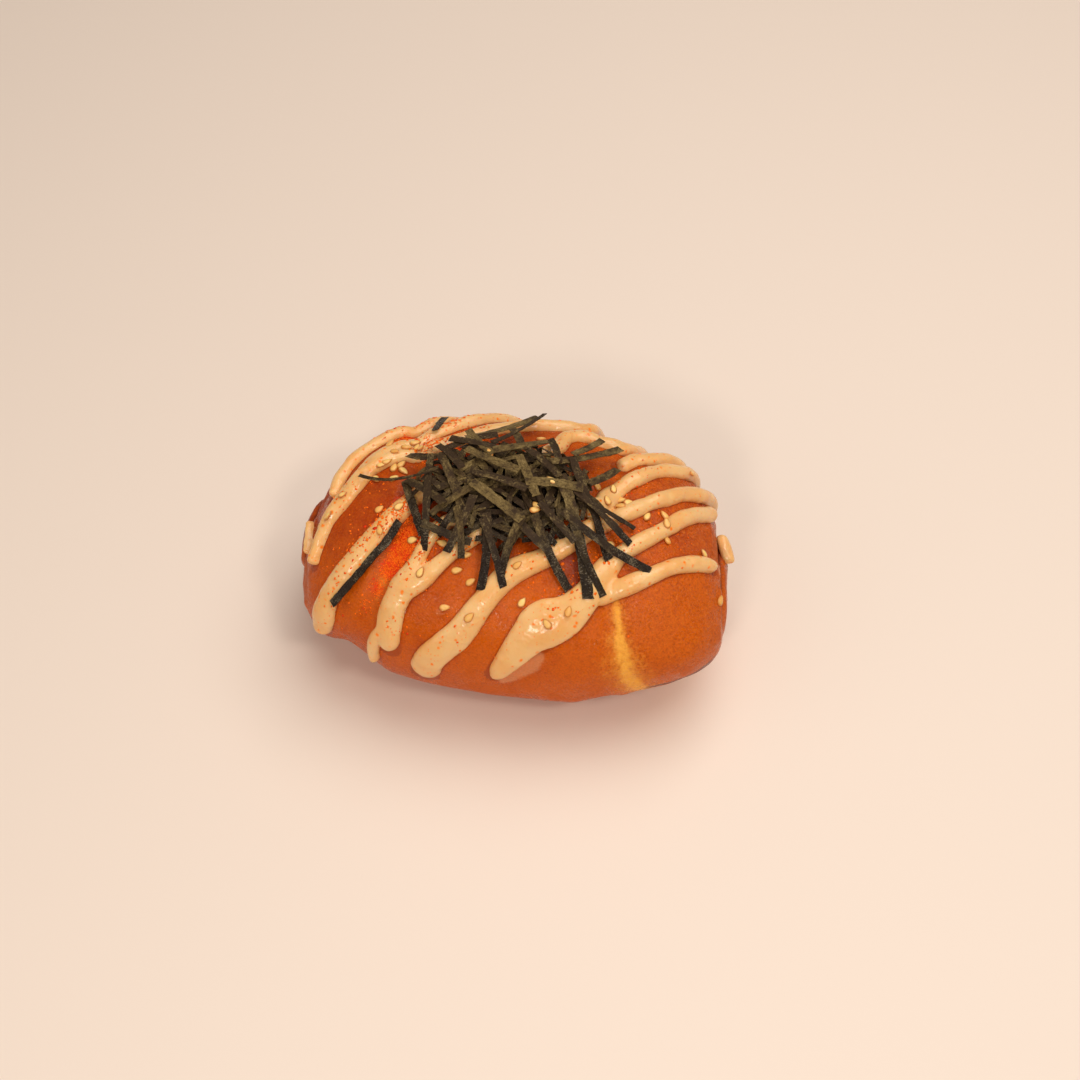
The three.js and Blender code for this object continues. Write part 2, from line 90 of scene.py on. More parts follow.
# The drizzle: the middle of each pass as (x, around, width)
DRIZZLE_HEIGHT = 2.6
DRIZZLE_ROOT = 0.9
DRIZZLE_END = 0.4
DRIZZLE = {
    "backLeft": [
        (-50.5, 92, 3), (-50, 74, 4.2), (-46, 54, 4.6), (-37, 40, 4.6), (-27, 27, 4.6), (-18, 2, 5.4),
    ],
    "leftEdge": [
        (-53, 146, 3.4), (-52, 130, 4), (-50, 111, 5), (-45, 88, 6.2), (-39, 67, 6), (-28, 50, 5.4),
        (-16, 34, 4.8), (-5, 15, 5), (-1, -8, 5.8),
    ],
    "leftInner": [
        (-46, 86, 3), (-41, 76, 4.4), (-36, 68, 4.8), (-30, 64, 4.8), (-20, 58, 4.8), (-8, 44, 4.6),
        (3.5, 37, 4.8), (11, 32, 4.8), (15.5, 28, 4.8), (18, 14, 5), (19, 0, 5.6),
    ],
    "frontLeft": [
        (-49.5, 179, 5.8), (-48.5, 169, 7), (-46, 153, 6.6), (-40, 134, 6.2), (-32, 111, 6), (-26, 96, 5.8),
        (-12, 78, 5.4), (4, 65, 5), (9, 56, 4.8), (11, 47, 5), (15.5, 42.5, 5), (20, 43, 5),
        (24.5, 42, 4.8), (28, 36, 4.8), (31, 22, 4.8), (32, 4, 5.2),
    ],
    "frontSecond": [
        (-28.6, 170, 6.2), (-28.9, 160, 7), (-27.8, 151, 7.4), (-25.5, 142, 7.4), (-23, 131, 4.6),
        (-21, 122, 3.8), (-18, 114, 4.4), (-6, 99, 5.2), (6, 82, 5), (14, 72, 5),
    ],
    "frontFinger": [(-32.8, 181, 3), (-33.4, 175, 3.4), (-32.6, 168, 3.6), (-29.5, 159, 3.6)],
    "frontThird": [
        (-26, 145, 6), (-21, 138.5, 5.8), (-16.5, 130.5, 4.8), (-12, 122, 4.6), (-8, 116, 4.8),
        (4, 106, 5.2), (17, 96, 5.6), (23, 91, 6.2), (25, 82, 6), (28.5, 73, 5.2), (32, 65.5, 4.8),
        (36, 56, 4.6), (39, 49, 4.6), (43, 40, 4.6), (46.5, 24, 4.8), (47.5, 2, 5.4),
    ],
    "frontFourth": [
        (-19, 180, 8), (-17, 170, 9), (-10, 158, 8), (-4, 144, 7), (2, 132, 6.6), (12, 122, 6),
        (18, 112, 6.2), (23, 103, 5.4), (29, 94.5, 4.8), (34.5, 85, 4.8), (38, 78, 4.8), (41, 71, 4.8),
        (44.5, 60.5, 4.8), (49, 46.5, 4.8), (52, 28, 4.8), (53, 10, 5),
    ],
    "frontFifth": [
        (0, 174, 4.8), (4, 165, 7), (8, 157, 10), (12, 151, 13), (18, 146, 11), (22, 139, 9),
        (25, 131, 7.6), (27.5, 123.5, 6.4), (30, 118, 5.4), (33, 112.5, 5), (36, 107, 5), (39.5, 100, 5),
        (42, 93.5, 4.8), (44.5, 84.5, 4.8), (48, 73, 4.8), (51.5, 59, 4.8), (53.5, 46, 4.8),
    ],
    "rightEdge": [
        (24, 139, 6), (30.5, 134, 5.6), (34, 131, 5.2), (38.5, 126.5, 4.8), (43, 121, 4.8),
        (46.5, 117, 4.8), (50.5, 113.5, 4.8), (55, 111.5, 4.2),
    ],
    "rightStart": [(26.5, 57, 5), (30, 49, 5.4), (34, 44, 5.2), (38, 36, 4.8), (42, 24, 4.8), (43.5, 8, 5)],
    "rightDrip": [(55.8, 46, 3.2), (57.8, 46, 5), (58.8, 52, 3.8), (59.2, 59, 2.2)],
    "leftDrip": [(-57, 107, 2), (-56.4, 122, 2.2), (-55.4, 143, 1.6)],
}

# Stains on the crust and the drizzle: (x, around, reach in millimetres, strength)
CHILI_STAINS = [
    (-26, 120, 6, 1), (-28, 128, 6, 1), (-30, 136, 5.5, 0.9), (-33, 146, 5, 0.5), (-36, 156, 4, 0.25),
    (-26, 104, 5, 0.7), (-24, 40, 7, 1), (-34, 44, 5, 0.7), (-25, 58, 6, 1), (-18, 66, 6, 0.8),
    (-14, 48, 6, 0.8), (-30, 100, 5, 0.6), (-15, 120, 5, 0.3),
]
OIL_STAINS = [
    (20, 128, 7, 1), (17, 122, 6, 0.7), (27, 112, 4, 0.5), (-3, 122, 5, 0.5), (33, 108, 4, 0.5),
    (-15, 116, 5, 0.4), (-36, 88, 8, 0.4),
]
SMEARS = [
    (12, 163, 3, 0.8), (11, 164.8, 3.4, 0.9), (10, 166.5, 3.7, 1), (8.8, 168.2, 3.8, 1), (7.5, 170, 3.8, 1),
    (6.2, 171.5, 3.7, 1), (5, 173, 3.5, 0.9), (3.8, 174.5, 3.3, 0.8), (2.5, 176, 3, 0.7),
    # The three smears at x 57 to 58 paint a pale line down the right rim: partly a thin film of sauce,
    # partly a painted highlight
    (57, 112, 3.4, 0.8), (58, 124, 3, 0.6), (57.5, 138, 3, 0.4), (-57, 110, 3, 0.8), (-56.5, 126, 3.4, 0.8),
    (28, 66, 3, 0.5), (-16, 150, 3, 0.4),
]

# Glossier patches of the crust: (x, around, reach in millimetres, strength)
GLOSS = [(36, 139, 8, 1), (32, 147, 7, 0.8), (-20, 160, 7, 0.8), (-24, 170, 6, 0.6), (2, 142, 8, 0.8)]

# Sesame seeds: (x, around, heading of the long side in degrees from +X)
SEEDS = [
    (-35, 67, -10), (-33, 73, 50), (-34.8, 75.5, 75), (-36.6, 73.5, 45), (-32, 78, -40), (-34, 84, 20),
    (-38, 76, 15), (-39, 84, -50), (-46, 76, 40), (-46, 97, 15), (-49, 112, 40), (-53, 116, 80),
    (-37, 60, 50), (-31, 57, 20), (-29, 61, 80), (-33, 62, 10), (-27, 63, 80), (-28, 87, 30),
    (-36, 106, 50), (-31, 106, 55), (-34, 120, 100), (-25, 122, 10), (-21, 136, 60), (-10, 126, 20),
    (-17, 122, 170), (-12, 133, 20), (-8, 137, 35), (0, 127, 20), (4, 129, 50), (-14, 148, 10),
    (-7, 150, 62), (6.2, 142.6, 68), (18.5, 144, 80), (13.5, 149, 130), (4, 50, 30), (25.5, 79, 100),
    (28.5, 83, 0), (23.5, 89, 120), (29, 90, 170), (30.5, 86, 20), (27, 112, 160), (12, 26, 0),
    (45.5, 36, 60), (36, 91, 65), (40.5, 86, 140), (40.5, 95, 115), (42, 103, 125), (52, 102, 155),
    (57, 142, 85), (7, 106, 20), (-38, 30, 30), (-10, 20, 100), (30, 16, 60), (8, 12, 150), (40, 40, 10),
]
SEEDS_ON_NORI = [(-8, 78, 120), (-3, 90, 160), (10, 90, 140), (7, 103, 125), (21.5, 78, 140)]

# Chili powder and flakes: (x, around, how far they scatter in millimetres, how many, size)
CHILI = [
    (-25.5, 119, 2.6, 640, 0.36), (-27, 125, 2.8, 700, 0.36), (-29, 132, 2.8, 620, 0.36),
    (-31, 139, 2.6, 380, 0.36), (-33, 147, 2.4, 130, 0.36), (-36, 155, 2.4, 50, 0.4),
    (-26, 112, 3, 220, 0.42), (-29, 106, 3.4, 190, 0.5), (-32, 112, 4, 70, 0.7), (-34, 120, 4, 40, 0.8),
    (-42, 134, 6, 46, 0.75), (-39, 124, 5, 40, 0.8), (-44, 146, 5, 20, 0.7), (-23, 124, 5, 70, 0.7),
    (-12, 121, 4, 44, 0.8), (-17, 116, 4, 60, 0.75), (-24, 134, 5, 34, 0.7), (-23, 38, 5, 300, 0.75),
    (-36, 46, 5, 140, 0.75), (-26, 60, 5, 320, 0.75), (-16, 66, 5, 180, 0.7), (-16, 46, 5, 160, 0.75),
    (-30, 30, 4, 90, 0.7), (-45, 98, 6, 26, 0.7), (-44, 160, 5, 16, 0.7), (-27, 158, 4, 18, 0.6),
    (24, 122, 5, 30, 0.9), (30, 112, 5, 26, 0.8), (18, 140, 7, 34, 0.9), (34, 100, 6, 16, 0.7),
    (14, 50, 10, 50, 0.7), (30, 62, 8, 34, 0.7), (44, 90, 10, 18, 0.7), (0, 20, 16, 50, 0.7),
    (-30, 20, 12, 50, 0.7), (40, 130, 10, 8, 0.6), (-10, 160, 10, 10, 0.6), (8, 128, 8, 34, 0.7),
    (18, 130, 4, 20, 0.7), (-38, 96, 8, 30, 0.6),
]

# Nori: each shred from (x, around) to (x, around), its lift at both ends, its width, and for some how far it
# bows to the side, as a share of its length
HEAP = {"x": -2, "around": 92, "half_length": 24, "half_spread": 31, "bottom": 3.7, "loose_height": 4.3}
HEAP_SHREDS = [
    (-15, 67, 2, 42, 6.4, 4.5, 2.8), (-8, 70, 4, 43, 6.8, 6, 1.8), (-20, 74, -7, 63, 5.5, 6, 2.4),
    (-22, 71, -14, 89, 5.5, 7.8, 2.6), (-15, 61, -7, 79, 6, 8.3, 2.6), (-4, 54, 1, 74, 4.4, 8, 2.6),
    (-7, 77, 7, 66, 8.4, 7.2, 2.8), (7, 59, 11, 80, 4.5, 7.8, 2.4), (9, 80, 24, 54.5, 8.4, 5, 2.6),
    (14, 74, 27, 122, 7, 1.6, 2.8), (-21, 77, -11, 116, 5.8, 6, 2.8), (-20, 112, -10, 98, 5, 8.2, 2.6),
    (-14, 77, 1, 87, 7.8, 8.6, 2.6), (-11, 97, 4, 112, 8.6, 7.6, 3.2), (0, 78, 7, 100, 8.4, 8.4, 2.8),
    (1, 72, 12, 88, 7.8, 8.2, 2.4), (3, 93, 18, 92, 8.6, 7.4, 3), (-11, 91, 4, 97, 8.5, 8.6, 3),
    (-31, 90, -17, 108, 3.8, 7, 2.8), (-31, 91, -22, 120, 4, 1.6, 2.8), (-23, 78, -21, 127, 5.5, 1.4, 2.6),
    (-6, 110, -5, 140, 7, 1.2, 2.8), (-7, 112, 1, 138, 6.6, 1.2, 2.4), (4, 110, 0, 134, 7, 1.4, 2.6),
    (7, 108, 18, 136, 7, 1.4, 2.8), (12, 86, 23, 139, 7.6, 1.4, 3.6), (18, 112, 26, 138, 4.8, 1.2, 2.6),
    (14, 104, 38, 125, 6, 1.4, 2.6), (16, 93, 32, 113, 6, 1.6, 2.4), (17, 96, 33, 102, 6, 1.2, 1.6),
    (19, 86, 24.5, 68, 5.5, 4.5, 2.6), (14, 72, 20.5, 53, 7, 4.5, 2.4), (-32, 72, -21, 80, 3.6, 6, 2.6),
    (-42, 86, -20, 88, 3.6, 6, 1.1, 0.12), (-22, 116, -9, 122, 4.6, 4.2, 2.6),
    (-10, 103, -15, 127, 8, 3.4, 2.6), (-14, 108, -11, 129, 6.4, 3.4, 2.4), (4, 113, 12, 122, 6, 4, 2.6),
    (-19, 68, -5, 75, 6.4, 8, 2.4), (8, 103, 18, 117, 8, 4.6, 2.6),
]
SHRED_SLIMMING = 0.84
LONE_SHREDS = {
    "nori_strip_front": (-44, 157, -28, 115, 2.9, 3.4, 2.8),
    "nori_strip_back": (-24, 38, -25, 52, 2.9, 2.9, 2.4),
}

# The grid that measures what lies on the crust, where its rays start and how far they reach
GRID_STEP = 0.5
HIGH_UP = 12
HEADROOM = 20

# How flat a chili flake is, and the turn between one filling shred and the next, in radians
FLAKE_FLATNESS = 0.14
GOLDEN_TURN = 2.39996

# The photograph's view, round a point of the roll
CAMERA = {
    "azimuth": 8, "elevation": 54, "distance": 477, "look_at": (5.5, 9.25, 20),
    "lens": 55, "sensor": 36,
}

# The lights: each from a direction, so many metres off, its size in metres, its watts and its colour
LIGHTS = {
    "Window": ((0.43, -0.4, 0.81), 0.75, (0.14, 0.11), 1.2, (1, 0.94, 0.87)),
    "Lamp": ((-0.1, -0.78, 0.62), 0.75, (0.12, 0.1), 1.35, (1, 0.94, 0.87)),
    "Overhead": ((0.25, 0.3, 1), 0.9, (0.8, 0.8), 5.9, (1, 0.97, 0.93)),
    "Side": ((-0.9, -0.5, 0.7), 0.9, (0.7, 0.7), 1.0, (1, 0.95, 0.9)),
}


def from_srgb(*channels):
    """A colour in Blender's linear light, from screen values of 0 to 255."""
    return tuple(((c / 255 + 0.055) / 1.055) ** 2.4 if c > 10 else c / 255 / 12.92 for c in channels)


def colour_setting(name, description, *channels):
    """A colour that the user can change, from its screen values."""
    return bpy.props.FloatVectorProperty(
        name=name, description=description, subtype="COLOR", size=3, min=0, max=1,
        default=from_srgb(*channels),
    )


def length_setting(name, description, millimetres):
    """A length that the user can change."""
    return bpy.props.FloatProperty(
        name=name, description=description, subtype="DISTANCE", unit="LENGTH", min=0, precision=5,
        default=millimetres * MM,
    )


# Forms of the roll


def hill(t):
    """A smooth hill, 1 high in the middle and gone at -1 and 1."""
    return np.clip(1 - np.square(t), 0, None) ** 2


def smooth_step(t, low, high):
    """0 below low, 1 above high, and smooth between them."""
    s = np.clip((t - low) / (high - low), 0, 1)
    return s * s * (3 - 2 * s)


def super_ellipse(t, power):
    """The half width of an outline at the share t of its reach."""
    return np.clip(1 - np.clip(t, 0, 1) ** power, 0, None) ** (1 / power)


def of_end(x, name):
    """A value of the roll's left or right end, for each x."""
    return np.where(np.asarray(x) < 0, LEFT_END[name], RIGHT_END[name])


def seam_and_rim(x, around):
    """How far from the middle the seam and the rim lie there."""
    lean = (around - TOP) / TOP
    return of_end(x, "seam") + SEAM_SPREAD * lean * lean, of_end(x, "rim") + RIM_LEAN * lean


def relief(x, around):
    """How far the crust stands proud of the plain rounded form."""
    out = np.abs(x)
    seam, rim = seam_and_rim(x, around)
    kept = 1 - (1 - SEAM_KEPT) * smooth_step(around, *SEAM_CLOSING)
    groove = SEAM_DEPTH * hill((out - seam) / SEAM_REACH) * kept
    middle = MIDDLE_SWELL["height"] * hill((out / seam - MIDDLE_SWELL["crest"]) / MIDDLE_SWELL["reach"])
    outer = OUTER_SWELL * hill((2 * out - seam - rim) / (rim - seam))
    kept = 1 - (1 - RIGHT_RIM_KEPT) * smooth_step(around, *RIGHT_RIM_FADE)
    shown_rim = np.where(np.asarray(x) > 0, kept, 1)
    step = RIM_DROP * shown_rim * smooth_step(out, rim - RIM_SOFTNESS, rim + RIM_SOFTNESS)
    shoulder = SHOULDER["height"] * hill((x - SHOULDER["x"]) / SHOULDER["reach"])
    shoulder = shoulder * hill((around - SHOULDER["around"]) / SHOULDER["spread"])
    for tuck_x, tuck_around, reach, spread, depth in TUCKS:
        shoulder = shoulder - depth * hill((x - tuck_x) / reach) * hill((around - tuck_around) / spread)
    lumps = LUMPS["height"] * np.sin(x / LUMPS["along"] + LUMPS["phase"])
    lumps = lumps * np.sin(LUMPS["turns"] * np.radians(around) + x / LUMPS["twist"])
    shown = 1 - smooth_step(np.abs(around - TOP), *RELIEF_FADE)
    return (middle + outer + shoulder + lumps - groove - step) * shown


def on_crust(x, around):
    """Points of the crust, as rows of X, Y and Z."""
    x, around = np.broadcast_arrays(np.asarray(x, float), np.asarray(around, float))
    out = np.minimum(1, np.abs(x) / of_end(x, "reach"))
    across, upward = np.cos(np.radians(around)), np.sin(np.radians(around))
    front = super_ellipse(out, of_end(x, "front"))
    back = super_ellipse(out, of_end(x, "back"))
    width = np.maximum(HALF_WIDTH * np.where(across < 0, front, back), 1e-6)
    half_height = np.where(upward < 0, AXIS_HEIGHT + UNDERSIDE_SINK, HEIGHT - AXIS_HEIGHT)
    rise = np.maximum(half_height * super_ellipse(out, SIDE_POWER), 1e-6)
    spread = (np.abs(across) / width) ** SECTION_POWER + (np.abs(upward) / rise) ** SECTION_POWER
    plain = spread ** (-1 / SECTION_POWER)
    radius = plain + relief(x, around) * np.minimum(1, plain / AXIS_EASE)
    slant = SLANT["share"] * smooth_step(x, SLANT["start"], SLANT["end"]) * np.maximum(0, -radius * across)
    return np.stack([x + slant, radius * across, np.maximum(0, AXIS_HEIGHT + radius * upward)], axis=-1)


def unit(vectors):
    """The same directions, 1 long."""
    return vectors / np.maximum(np.linalg.norm(vectors, axis=-1, keepdims=True), 1e-9)


def outward(x, around):
    """The outward direction of the crust at each place."""
    inside = np.clip(x, 1 - LEFT_END["reach"], RIGHT_END["reach"] - 1)
    along = on_crust(inside + 0.5, around) - on_crust(inside - 0.5, around)
    turn = on_crust(inside, np.asarray(around) + 0.5) - on_crust(inside, np.asarray(around) - 0.5)
    return unit(np.cross(turn, along))


def above_crust(x, around, lift):
    """Points over the crust at a height."""
    return on_crust(x, around) + outward(x, around) * np.asarray(lift)[..., None]


def place_of(points):
    """The x and around of points near the crust."""
    around = np.degrees(np.arctan2(points[:, 2] - AXIS_HEIGHT, points[:, 1]))
    return points[:, 0], np.where(around < -90, around + WHOLE_TURN, around)


def stain(points, spots):
    """How strongly each point lies in one of the spots, from 0 to 1."""
    strength = np.zeros(len(points))
    for x, around, reach, amount in spots:
        far = np.linalg.norm(points - on_crust(x, around), axis=1) / reach
        strength = np.maximum(strength, amount * hill(far))
    return strength


def beyond_drizzle(points):
    """How far each point lies from the edge of the nearest pass, in millimetres, up to 3."""
    far = np.full(len(points), 3.0)
    for places in DRIZZLE.values():
        x, around, width = catmull_rom(places, np.linspace(0, 1, 120)).T
        for middle, half in zip(on_crust(x, around), width / 2):
            near = np.flatnonzero(np.abs(points[:, 0] - middle[0]) < half + 3)
            far[near] = np.minimum(far[near], np.linalg.norm(points[near] - middle, axis=1) - half)
    return far


def rough(points, size, seed=0):
    """Smooth noise between about -1 and 1 with lumps of that size, at each point."""
    offset = Vector((seed * 17.3, seed * 5.1, seed * 9.7))
    return np.array([noise.noise(Vector(p) / size + offset) for p in points])


# Making and finishing meshes


def deselect():
    """Nothing stays selected."""
    bpy.ops.object.select_all(action="DESELECT")


def corners_of(piece):
    """The piece's vertices in millimetres, one row each."""
    corners = np.empty(len(piece.data.vertices) * 3)
    piece.data.vertices.foreach_get("co", corners)
    return corners.reshape(-1, 3) / MM


def normals_of(piece):
    """The piece's vertex normals, one row each."""
    normals = np.empty(len(piece.data.vertices) * 3)
    piece.data.vertices.foreach_get("normal", normals)
    return normals.reshape(-1, 3)


def move_corners(piece, corners):
    """Puts the piece's vertices at these millimetres."""
    piece.data.vertices.foreach_set("co", (corners * MM).ravel())
    piece.data.update()


def give(piece, name, values):
    """Stores a number for each vertex, for the material to read."""
    attribute = piece.data.attributes.new(name, "FLOAT", "POINT")
    attribute.data.foreach_set("value", np.asarray(values, np.float32))


def face_outwards(piece):
    """Turns every face to the outside."""
    bpy.context.view_layer.objects.active = piece
    bpy.ops.object.mode_set(mode="EDIT")
    bpy.ops.mesh.select_all(action="SELECT")
    bpy.ops.mesh.normals_make_consistent(inside=False)
    bpy.ops.object.mode_set(mode="OBJECT")


def keep_crisp(piece):
    """Marks the piece's sharp edges, so that smooth shading stops there."""
    bpy.context.view_layer.objects.active = piece
    bpy.ops.object.mode_set(mode="EDIT")
    bpy.ops.mesh.select_all(action="DESELECT")
    bpy.ops.mesh.select_mode(type="EDGE")
    bpy.ops.mesh.edges_select_sharp(sharpness=math.radians(50))
    bpy.ops.mesh.mark_sharp()
    bpy.ops.object.mode_set(mode="OBJECT")


def add_ball(sides, rings):
    """A ball of 1 millimetre radius round the origin, and where its vertices point."""
    deselect()
    bpy.ops.mesh.primitive_uv_sphere_add(segments=sides, ring_count=rings, radius=MM)
    ball = bpy.context.object
    return ball, corners_of(ball)


def add_sheet(steps_along, steps_across):
    """A flat grid from -1 to 1, and its vertices' shares along and across."""
    deselect()
    bpy.ops.mesh.primitive_grid_add(x_subdivisions=steps_along, y_subdivisions=steps_across, size=2 * MM)
    sheet = bpy.context.object
    corners = corners_of(sheet)
    return sheet, (1 + corners[:, 0]) / 2, corners[:, 1] / 2


def join(pieces, name):
    """One object from several."""
    deselect()
    for piece in pieces:
        piece.select_set(True)
    bpy.context.view_layer.objects.active = pieces[0]
    if len(pieces) > 1:
        bpy.ops.object.join()
    whole = bpy.context.object
    whole.name = whole.data.name = name
    return whole


def apply_modifier(piece, kind, **settings):
    """Adds a modifier and applies it."""
    bpy.context.view_layer.objects.active = piece
    modifier = piece.modifiers.new(kind.title(), kind)
    for name, value in settings.items():
        setattr(modifier, name, value)
    bpy.ops.object.modifier_apply(modifier=modifier.name)


def finish_piece(piece, name, finish, slot, *nodes):
    """Names the piece, shades it smooth and gives it its finish, its body and the nodes it stands for."""
    deselect()
    piece.select_set(True)
    bpy.context.view_layer.objects.active = piece
    bpy.ops.object.shade_smooth()
    move_corners(piece, corners_of(piece) + CENTRE_SHIFT)
    piece.name = piece.data.name = name
    piece.data.materials.clear()
    piece.data.materials.append(finish)
    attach(piece, "root")
    if nodes:
        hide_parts(*nodes)


# Finishes


class Value:
    """A socket that varies over a surface; arithmetic on it adds Math nodes."""

    def __init__(self, finish, socket):
        self.finish = finish
        self.socket = socket

    def maths(self, operation, first, second):
        return self.finish.node("Math", {0: first, 1: second}, operation=operation)

    def __add__(self, other):
        return self.maths("ADD", self, other)

    __radd__ = __add__

    def __sub__(self, other):
        return self.maths("SUBTRACT", self, other)

    def __rsub__(self, other):
        return self.maths("SUBTRACT", other, self)

    def __mul__(self, other):
        return self.maths("MULTIPLY", self, other)

    __rmul__ = __mul__


class Finish:
    """The node tree of one material."""

    def __init__(self, name):
        self.material = bpy.data.materials.new(name)
        self.material.use_nodes = True
        self.tree = self.material.node_tree
        self.shader = self.tree.nodes["Principled BSDF"]
        self.place = self.node("TexCoord", {}, output="Object")

    def node(self, kind, sockets, output=0, **settings):
        """Adds a node: its settings first, then the values or links of its sockets."""
        node = self.tree.nodes.new("ShaderNode" + kind)
        for name, value in settings.items():
            setattr(node, name, value)
        for name, value in sockets.items():
            self.plug(node.inputs[name], value)
        return Value(self, node.outputs[output])

    def plug(self, socket, value):
        """Links a value to a socket, or sets the socket."""
        if isinstance(value, Value):
            self.tree.links.new(value.socket, socket)
        elif isinstance(value, tuple) and len(value) == 3 and socket.type == "RGBA":
            socket.default_value = (*value, 1)
        else:
            socket.default_value = value

    def surface(self, **sockets):
        """Sets or links the shader's sockets: base_color stands for Base Color."""
        for name, value in sockets.items():
            self.plug(self.shader.inputs[name.replace("_", " ").title().replace("Ior", "IOR")], value)

    def along_shreds(self, stretch):
        """A place that runs along each shred, drawn out that many times."""
        run, across, tone = (self.attribute(name) for name in ("run", "across", "tone"))
        return self.node("CombineXYZ", {0: run * (MM / stretch), 1: across * MM, 2: tone * 0.5}, output=0)

    def noise(self, size, detail=2.0, roughness=0.5, distortion=0.0, place=None):
        """Noise with features of that size in millimetres, from 0 to 1."""
        sockets = {"Vector": place or self.place, "Scale": 1 / (size * MM), "Detail": detail}
        return self.node("TexNoise", {**sockets, "Roughness": roughness, "Distortion": distortion})

    def dots(self, spacing, waver=0.0):
        """Points about that many millimetres apart: the distance from the nearest, and its own chance."""
        place = self.place
        if waver:
            offset = self.node("TexNoise", {"Vector": place, "Scale": 1.5 / (spacing * MM)}, output="Color")
            offset = self.node("VectorMath", {0: offset, "Scale": waver * spacing * MM}, operation="SCALE")
            place = self.node("VectorMath", {0: place, 1: offset}, operation="ADD")
        sockets = {"Vector": place, "Scale": 1 / (spacing * MM)}
        distance = self.node("TexVoronoi", sockets, output="Distance")
        own = self.node("TexVoronoi", sockets, output="Color")
        return distance, self.node("SeparateColor", {0: own}, output="Red")

    def attribute(self, name):
        """A number stored on the mesh."""
        return self.node("Attribute", {}, output="Fac", attribute_name=name)

    def band(self, value, low, high):
        """0 where the value is low, 1 where it is high."""
        sockets = {"Value": value, "From Min": low, "From Max": high}
        return self.node("MapRange", sockets, interpolation_type="SMOOTHSTEP")

    def mix(self, factor, first, second):
        """A colour between two."""
        return self.node("Mix", {0: factor, 6: first, 7: second}, output=2, data_type="RGBA")

    def bump(self, height, distance, strength=1.0):
        """The surface's normal with a fine relief that deep in millimetres."""
        sockets = {"Height": height, "Distance": distance * MM, "Strength": strength}
        return self.node("Bump", sockets, output="Normal")


def crust_finish(settings):
    """Baked crust: orange to red-brown and finely grained, with pale seams, stains and a broken gloss."""
    f = Finish("Crust")
    clouds = f.noise(16, detail=3)
    mottle = f.noise(3.2, detail=4, roughness=0.55)
    grain = f.noise(0.45, detail=2, roughness=0.6)
    cells, _ = f.dots(0.6)
    skin = f.noise(0.85, detail=3, roughness=0.7)
    leather = f.attribute("leather")
    # Browning, with painted shade darkening the crust towards the left end
    bake_and_left_shade = f.attribute("bake_and_left_shade") + (clouds - 0.5) * 1.0 + (mottle - 0.5) * 0.8
    colour = f.mix(f.band(bake_and_left_shade, 0, 1), tuple(settings.light), tuple(settings.deep))
    colour = f.mix(f.band(cells, 0.3, 0.8) * 0.14, colour, tuple(settings.dark))
    colour = f.mix(f.band(skin, 0.5, 0.34) * (leather * 0.18 + 0.1), colour, tuple(settings.dark))
    colour = f.mix(f.band(skin, 0.52, 0.7) * (leather * 0.36 + 0.2), colour, tuple(settings.bright))
    colour = f.mix(f.band(grain, 0.48, 0.34) * 0.16, colour, tuple(settings.dark))
    colour = f.mix(f.band(grain, 0.58, 0.72) * 0.2, colour, tuple(settings.bright))
    pale = f.band(f.attribute("pale") + (skin - 0.5) * 0.7 + (mottle - 0.5) * 0.3, 0.05, 1.1)
    colour = f.mix(pale * 0.95, colour, tuple(settings.pale))
    # Dark edges: the baked bottom, the coil and the curled edges, and painted shade over the left end
    edge = f.band(f.attribute("edge") + (mottle - 0.5) * 0.5, 0.3, 0.9)
    colour = f.mix(edge * 0.8, colour, tuple(settings.dark))
    oil = f.band(f.attribute("oil") + (clouds - 0.5) * 0.5 + (mottle - 0.5) * 0.6, 0.15, 0.85)
    colour = f.mix(oil * 0.7, colour, tuple(settings.oil))
    # A dark line round the drizzle: partly oil, partly painted contact shadow
    film = f.band(f.attribute("film") + (mottle - 0.5) * 0.5, 0.25, 1.0)
    colour = f.mix(film * 0.5, colour, tuple(settings.film))
    powder = f.band(f.attribute("chili") * 0.9 + (grain - 0.5) * 1.2, 0.3, 0.6)
    haze = f.band(f.attribute("chili") + (mottle - 0.5) * 0.8, 0.15, 1.0)
    colour = f.mix(haze * 0.55, colour, tuple(settings.chili))
    colour = f.mix(powder * 0.85, colour, tuple(settings.chili))
    smear = f.band(f.attribute("smear") + (mottle - 0.5) * 0.9 + (clouds - 0.5) * 0.4, 0.25, 0.75)
    colour = f.mix(smear * 0.42, colour, tuple(settings.smear))
    wet = f.band(f.noise(8, detail=3) + oil * 0.15 + smear * 0.3 + f.attribute("gloss") * 0.4, 0.4, 0.58)
    sparkle = f.band(f.noise(0.7, detail=2), 0.42, 0.56) * wet
    height = f.band(cells, 0, 0.9) * -0.3 + grain * 0.5 + skin * (leather * 1.6 + 1.2) + mottle * 0.3
    f.surface(
        base_color=colour, roughness=0.54 - wet * 0.08 - sparkle * 0.38 + powder * 0.15 - film * 0.2,
        ior=1.45, specular_ior_level=0.22, subsurface_weight=0.05, subsurface_scale=0.002,
        normal=f.bump(height, settings.grain_depth / MM),
    )
    return f.material


